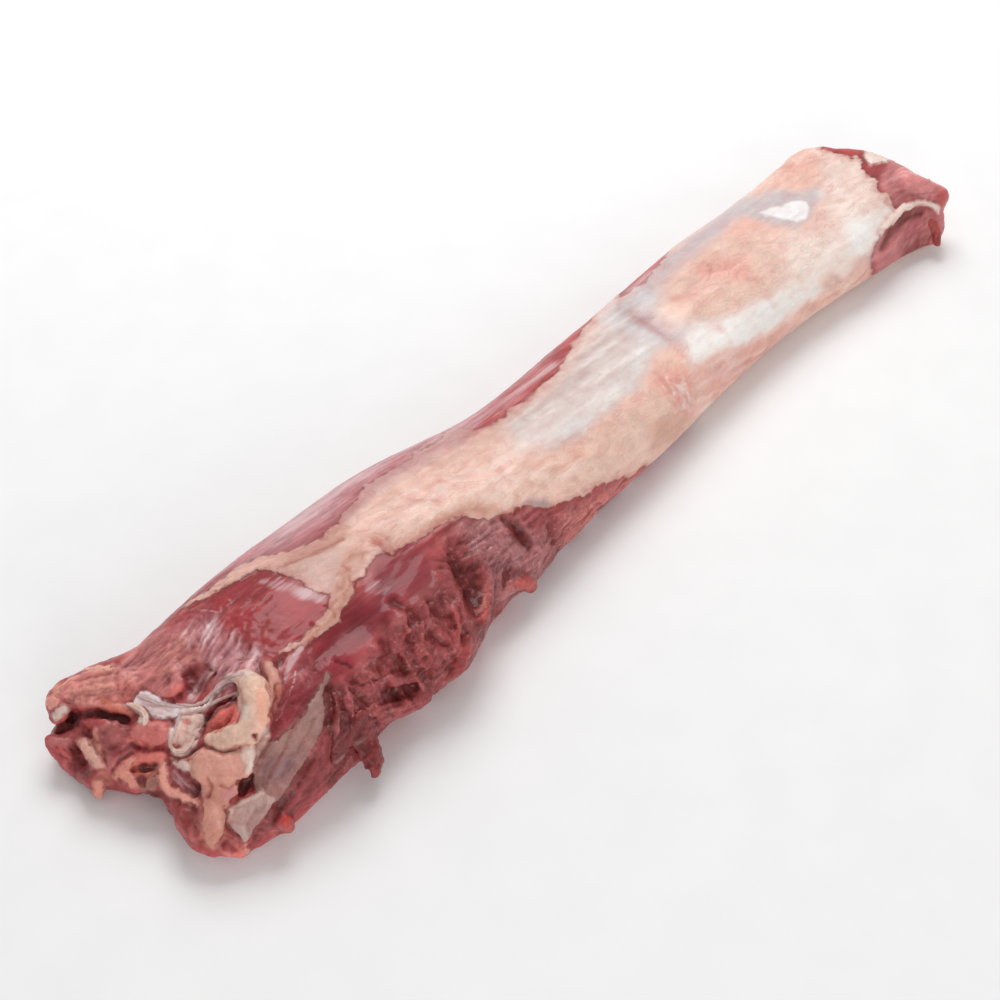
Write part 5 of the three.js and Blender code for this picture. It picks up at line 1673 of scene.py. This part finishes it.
def store(piece, channels):
    """Keeps painted channels as attributes of the mesh's points."""
    for name, values in channels.items():
        if values.ndim == 2:
            held = piece.data.attributes.new(name, "FLOAT_COLOR", "POINT")
            held.data.foreach_set("color", np.column_stack([values, np.ones(len(values))]).ravel())
        else:
            held = piece.data.attributes.new(name, "FLOAT", "POINT")
            held.data.foreach_set("value", values.astype(np.float32))


def make_piece(name, points, faces, channels, material):
    """A painted piece of the meat, on the root body."""
    piece = make_mesh(name, points, faces, material)
    store(piece, channels)
    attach(piece, "root")
    return piece


# Where the mesh is finer, in pixels: the blade end, the torn flank, the painted white highlight, the pink
# spot.
BLADE_ROOM = [(30, 640), (180, 600), (262, 590), (352, 640), (352, 790), (262, 872), (30, 810)]
HIGHLIGHT_ROOM = [(754, 206), (800, 190), (822, 196), (816, 230), (768, 226)]
SPOT_ROOM = [(648, 380), (680, 362), (704, 384), (700, 420), (672, 418)]
EDGE_ROOM = 7.0  # pixels each side of the cap's edge
EDGE_UNTIL = -10.0  # X in mm
RUMP_FROM = 262.0  # X in mm
TOWARDS_CAMERA = -0.1  # the least cosine of a triangle that counts as facing the camera


def finer_part(points, faces):
    """The triangles that face the camera where the surface has most detail."""
    spots, x = to_pixels(points[faces[:, 0]]), points[faces[:, 0], 0]
    chosen = (np.abs(inside_outline(spots, CAP)) < EDGE_ROOM) & (x < EDGE_UNTIL)
    chosen |= x > RUMP_FROM
    for outline in (BLADE_ROOM, TORN, HIGHLIGHT_ROOM, SPOT_ROOM):
        chosen |= inside_outline(spots, outline) > 0
    return chosen & (facing(points, faces) > TOWARDS_CAMERA)


def make_loin(material):
    """The body: sculpted, meshed, painted and given its relief."""
    clay = Clay()
    sculpt(clay)
    points, quads = merge_underside(*clay.mesh())
    faces = split_quads(points, quads)
    points, faces = refine(points, faces, finer_part(points, faces))
    skin = Skin(points, faces)
    paint(skin, clay)
    relief(skin)
    loin = make_piece("loin_meat", skin.points, skin.faces, skin.channel, material)
    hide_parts("ribeye")
    return skin


# ---------------------------------------------------------------- the pieces over the body
PIECE_STEP = 0.6
PIECE_ROOM = 3.0
PIECE_RELIEF = 0.35
PIECE_FILM = 0.1
PIECE_TORN = 0.4
BARE, COVERED = -8.0, 12.0  # cover of a piece that is all meat, and of one that is all film


def piece_skin(uneven, parts):
    """A closed uneven skin around chains that are pressed flat on the solid."""
    chains = []
    for flatness, spots in parts:
        points, radii = (np.array(column) for column in zip(*chain_at(spots)))
        normal = np.array(SOLID.find_nearest(points[len(points) // 2].tolist())[1])
        chains.append((points, radii, (normal, flatness)))
    low = np.min([(p - r[:, None]).min(0) for p, r, _ in chains], 0) - PIECE_ROOM
    high = np.max([(p + r[:, None]).max(0) for p, r, _ in chains], 0) + PIECE_ROOM
    axes = [np.arange(lo, hi, PIECE_STEP) for lo, hi in zip(low, high)]
    grids = np.meshgrid(*axes, indexing="ij")
    spots = np.stack([g.ravel() for g in grids], -1)
    field = np.min([chain_distance(spots, *chain) for chain in chains], 0)
    close = np.abs(field) < 4 * uneven + 2
    field[close] += uneven * 0.75 * rough(spots[close], 6.5, 3, 2)
    field = np.maximum(field, FLOOR_GAP - spots[:, 2])
    points, quads, _ = surface_nets(field.reshape(grids[0].shape), axes)
    return Skin(points, split_quads(points, quads))


def paint_piece(skin, colour):
    """Mottled bare meat all over."""
    meat = towards(0.8 * colour, 1.2 * colour, smooth(rough(skin.spots, 6, 3, 3), -0.6, 0.6))
    zero = np.zeros(len(skin.points))
    skin.channel = {"meat": meat, "coat": meat, "film": zero + PIECE_FILM, "blood": zero}
    skin.channel |= {"cover": zero + BARE, "torn": zero + PIECE_TORN}


def make_pieces(material):
    """The tags and strips that hang free."""
    skins = []
    for name, (colour, uneven, parts) in TAGS.items():
        skin = piece_skin(uneven, parts)
        paint_piece(skin, linear(colour))
        skin.push(PIECE_RELIEF * ridged(skin.spots, (7, 4, 4), 2, 2))
        skin.points[:, 2] = np.maximum(skin.points[:, 2], FLOOR_GAP)
        skin.refresh()
        shade_hollows(skin)
        make_piece(name, skin.points, skin.faces, skin.channel, material)
        skins.append(skin)
    return skins


# ---------------------------------------------------------------- films
FILM_LILAC = linear((226, 200, 200))
FILM_PINK = linear((230, 190, 182))
FILM_CREAM = linear((240, 206, 192))

# name: (colour, lift in mm, thickness in mm, [(u, v, half width in pixels), ...])
FILMS = {
    "web_edge": (FILM_CREAM, 1.0, 0.7, [(126, 704, 1), (131, 705, 3.4), (137, 708, 4), (143, 712, 4.4),
            (145, 718, 4), (144, 724, 3), (143, 727, 1)]),
    "web_fold_a": (FILM_LILAC, 0.8, 0.5, [(136, 696, 1), (146, 699, 2.6), (158, 703, 2.6), (172, 706, 2),
            (186, 707, 1)]),
    "web_fold_b": (FILM_PINK, 0.8, 0.5, [(176, 704, 1), (192, 706, 1.8), (204, 702, 2), (212, 694, 2),
            (220, 684, 2), (232, 676, 2.2), (246, 673, 1.6)]),
    "web_fold_c": (FILM_PINK, 0.8, 0.5, [(180, 714, 1), (194, 712, 1.8), (206, 708, 2), (218, 700, 1.8),
            (228, 696, 1.6), (238, 692, 1)]),
    "web_fold_d": (FILM_LILAC, 0.7, 0.4, [(210, 696, 1), (218, 688, 1.6), (226, 682, 1.6), (236, 681, 1)]),
    "loop_left": (FILM_LILAC, 0.7, 0.5, [(182, 711, 1), (177, 722, 1.8), (174, 733, 1.6), (172, 742, 1.4)]),
    "loop_rim": (FILM_CREAM, 1.2, 0.8, [(169, 737, 1), (170, 746, 2.2), (175, 752, 2.6), (183, 752, 2.6),
            (190, 746, 2.4), (195, 736, 1.4)]),
}
FILM_ROWS = 5  # points across a film, each side of its middle line
FILM_STEP = 1.1  # pixels between the points along it
FILM_END = 3.0  # pixels over which an end comes down
FILM_LOOSE = 0.3  # how far a film may hang below what it lies on, in mm
FILM_KEY = 9.0  # keeps the films' noises apart


def surface_tree(skins):
    """One search tree over the body and its pieces."""
    points, faces, start = [], [], 0
    for skin in skins:
        points.append(skin.points)
        faces.append(skin.faces + start)
        start += len(skin.points)
    return BVHTree.FromPolygons(np.concatenate(points).tolist(), np.concatenate(faces).tolist())


def film_line(line):
    """Evenly spaced (u, v, half width) along a film, and the distance along it."""
    line = np.array(line, float)
    steps = np.concatenate([[0], np.cumsum(np.linalg.norm(np.diff(line[:, :2], axis=0), axis=1))])
    along = np.linspace(0, steps[-1], max(int(steps[-1] / FILM_STEP), 4))
    middle = np.stack([np.interp(along, steps, line[:, k]) for k in range(3)], -1)
    for _ in range(3):
        middle[1:-1] = 0.5 * middle[1:-1] + 0.25 * (middle[:-2] + middle[2:])
    return middle, along


def film_pixels(middle, across, key):
    """A grid of pixels over a film whose two edges wander."""
    heading = np.gradient(middle[:, :2], axis=0)
    heading /= np.maximum(np.linalg.norm(heading, axis=1, keepdims=True), 1e-6)
    side = np.stack([-heading[:, 1], heading[:, 0]], -1)
    left, right = 1 + 0.3 * rough(key, 5, 3, 1), 1 + 0.3 * rough(key, 5, 3, 4)
    width = middle[:, 2:3] * np.where(across[None] < 0, left[:, None], right[:, None])
    return middle[:, None, :2] + (width * across[None])[..., None] * side[:, None]


def film_depth(tree, pixels):
    """The rays through a grid of pixels, and how far along them a film lies that bridges hollows."""
    depth = np.full(pixels.shape[:2], np.nan)
    rays = np.empty((*pixels.shape[:2], 3))
    for i, j in np.ndindex(*depth.shape):
        rays[i, j] = pixel_ray(*pixels[i, j])
        hit = tree.ray_cast(EYE.tolist(), rays[i, j].tolist())
        if hit[0] is not None:
            depth[i, j] = hit[3]
    depth = np.where(np.isnan(depth), np.nanmedian(depth), depth)
    bridged = depth.copy()
    for _ in range(6):
        padded = np.pad(bridged, 1, "edge")
        bridged = (padded[1:-1, :-2] + padded[1:-1, 2:] + padded[:-2, 1:-1] + padded[2:, 1:-1]) / 4
        bridged = np.minimum(bridged, depth + FILM_LOOSE)
    return rays, bridged


def strip_quads(count, rows):
    """The quads of a closed strip: its top, its underside and the wall between them."""
    index = np.arange(count * rows).reshape(count, rows)
    top = np.stack([index[:-1, :-1], index[1:, :-1], index[1:, 1:], index[:-1, 1:]], -1).reshape(-1, 4)
    under = top[:, ::-1] + count * rows
    rim = np.concatenate([index[0, :-1], index[:-1, -1], index[-1, :0:-1], index[:0:-1, 0]])
    after = np.roll(rim, -1)
    wall = np.stack([rim, after, after + count * rows, rim + count * rows], -1)
    return np.concatenate([top, under, wall])


def film_mesh(tree, lift, thickness, line, seed):
    """A closed strip that lies on what the camera sees, with a wandering edge and soft folds."""
    middle, along = film_line(line)
    count = len(along)
    across = np.linspace(-1, 1, 2 * FILM_ROWS + 1)
    key = np.stack([along, np.full(count, FILM_KEY * seed), np.zeros(count)], -1)
    pixels = film_pixels(middle, across, key)
    rays, bridged = film_depth(tree, pixels)
    arch = np.sqrt(np.clip(1 - across**2, 0, 1))[None]
    bow = arch * np.clip(np.minimum(along, along[::-1]) / FILM_END, 0.15, 1)[:, None]
    folds = 0.5 * np.sin(across[None] * 7 + 2 * noise(key, 9, 2)[:, None] + seed)
    front = bridged - lift * bow * (1 + 0.45 * folds) + 0.25 * (1 - bow)
    points = [(EYE + (front + push)[..., None] * rays).reshape(-1, 3) for push in (0.0, thickness)]
    flat = np.column_stack([pixels.reshape(-1, 2), np.zeros(pixels.size // 2)])
    speckle = rough(flat, 4.0, 2, 5).reshape(bow.shape)
    tone = np.clip(0.5 + 0.6 * folds * bow + 0.35 * speckle, 0, 1)
    return np.concatenate(points), strip_quads(count, len(across)), np.tile(tone.ravel(), 2)


def outward(points, quads):
    """The quads turned so that the closed mesh's faces point out."""
    a, b, c, d = (points[quads[:, k]] for k in range(4))
    volume = (np.cross(b - a, c - a) * a).sum() + (np.cross(c - a, d - a) * a).sum()
    return quads if volume > 0 else quads[:, ::-1]


def make_films(tree, material):
    """The membranes that lie over the blade end."""
    for seed, (name, (colour, lift, thickness, line)) in enumerate(FILMS.items()):
        points, quads, tone = film_mesh(tree, lift, thickness, line, seed)
        shown = towards(0.55 * colour + 0.3 * FLESH, np.clip(1.12 * colour, 0, 1), tone)
        zero = np.zeros(len(points))
        channels = {"meat": shown, "coat": shown, "film": zero, "blood": zero}
        channels |= {"cover": zero + COVERED, "torn": zero}
        make_piece(name, points, outward(points, quads), channels, material)


# ---------------------------------------------------------------- stage
FLOOR_SIZE = 6.0  # metres
FLOOR_DROP = 0.0002
FLOOR_TONES = (0.94, 0.96)
KEY_LIGHT = ((0.7, 0.75, 1.5), 1.1, 20.5)  # place and size in metres, power in watts
FILL_LIGHT = ((-0.9, -1.3, 0.4), 1.0, 8.0)
SKY_STRENGTH = 0.47


def make_floor():
    """A plain pale floor."""
    n = Nodes("pale_floor")
    grain = n.noise(n.add("ShaderNodeTexCoord").outputs["Object"], 30.0, 4.0)
    dark, light = (rgba([tone] * 3) for tone in FLOOR_TONES)
    tone = n.mix(n.span(grain, 0.3, 0.7), dark, light)
    surface = n.add("ShaderNodeBsdfPrincipled", {"Base Color": tone, "Roughness": 0.9})
    n.add("ShaderNodeOutputMaterial", {"Surface": surface.outputs[0]})
    half = FLOOR_SIZE / 2 / MM
    drop = -FLOOR_DROP / MM
    corners = np.array([(-half, -half, drop), (half, -half, drop), (half, half, drop), (-half, half, drop)])
    floor = make_mesh("floor", corners, np.array([[0, 1, 2, 3]]), n.material)


def softbox(name, place, size, power):
    """A square light that points at the middle of the floor."""
    data = bpy.data.lights.new(name, "AREA")
    data.energy = power
    data.size = size
    light = bpy.data.objects.new(name, data)
    light.location = place
    light.rotation_euler = Vector(place).to_track_quat("Z", "Y").to_euler()
    bpy.context.scene.collection.objects.link(light)


def make_light():
    """Plain soft studio light."""
    softbox("key", *KEY_LIGHT)
    softbox("fill", *FILL_LIGHT)
    world = bpy.data.worlds.new("studio")
    world.use_nodes = True
    sky = world.node_tree.nodes["Background"]
    sky.inputs["Color"].default_value = (1, 1, 1, 1)
    sky.inputs["Strength"].default_value = SKY_STRENGTH
    bpy.context.scene.world = world
    bpy.context.scene.view_settings.view_transform = "Standard"


make_camera()
raw_meat = meat_material()
body = make_loin(raw_meat)
everything = surface_tree([body, *make_pieces(raw_meat)])
make_films(everything, raw_meat)
make_floor()
make_light()
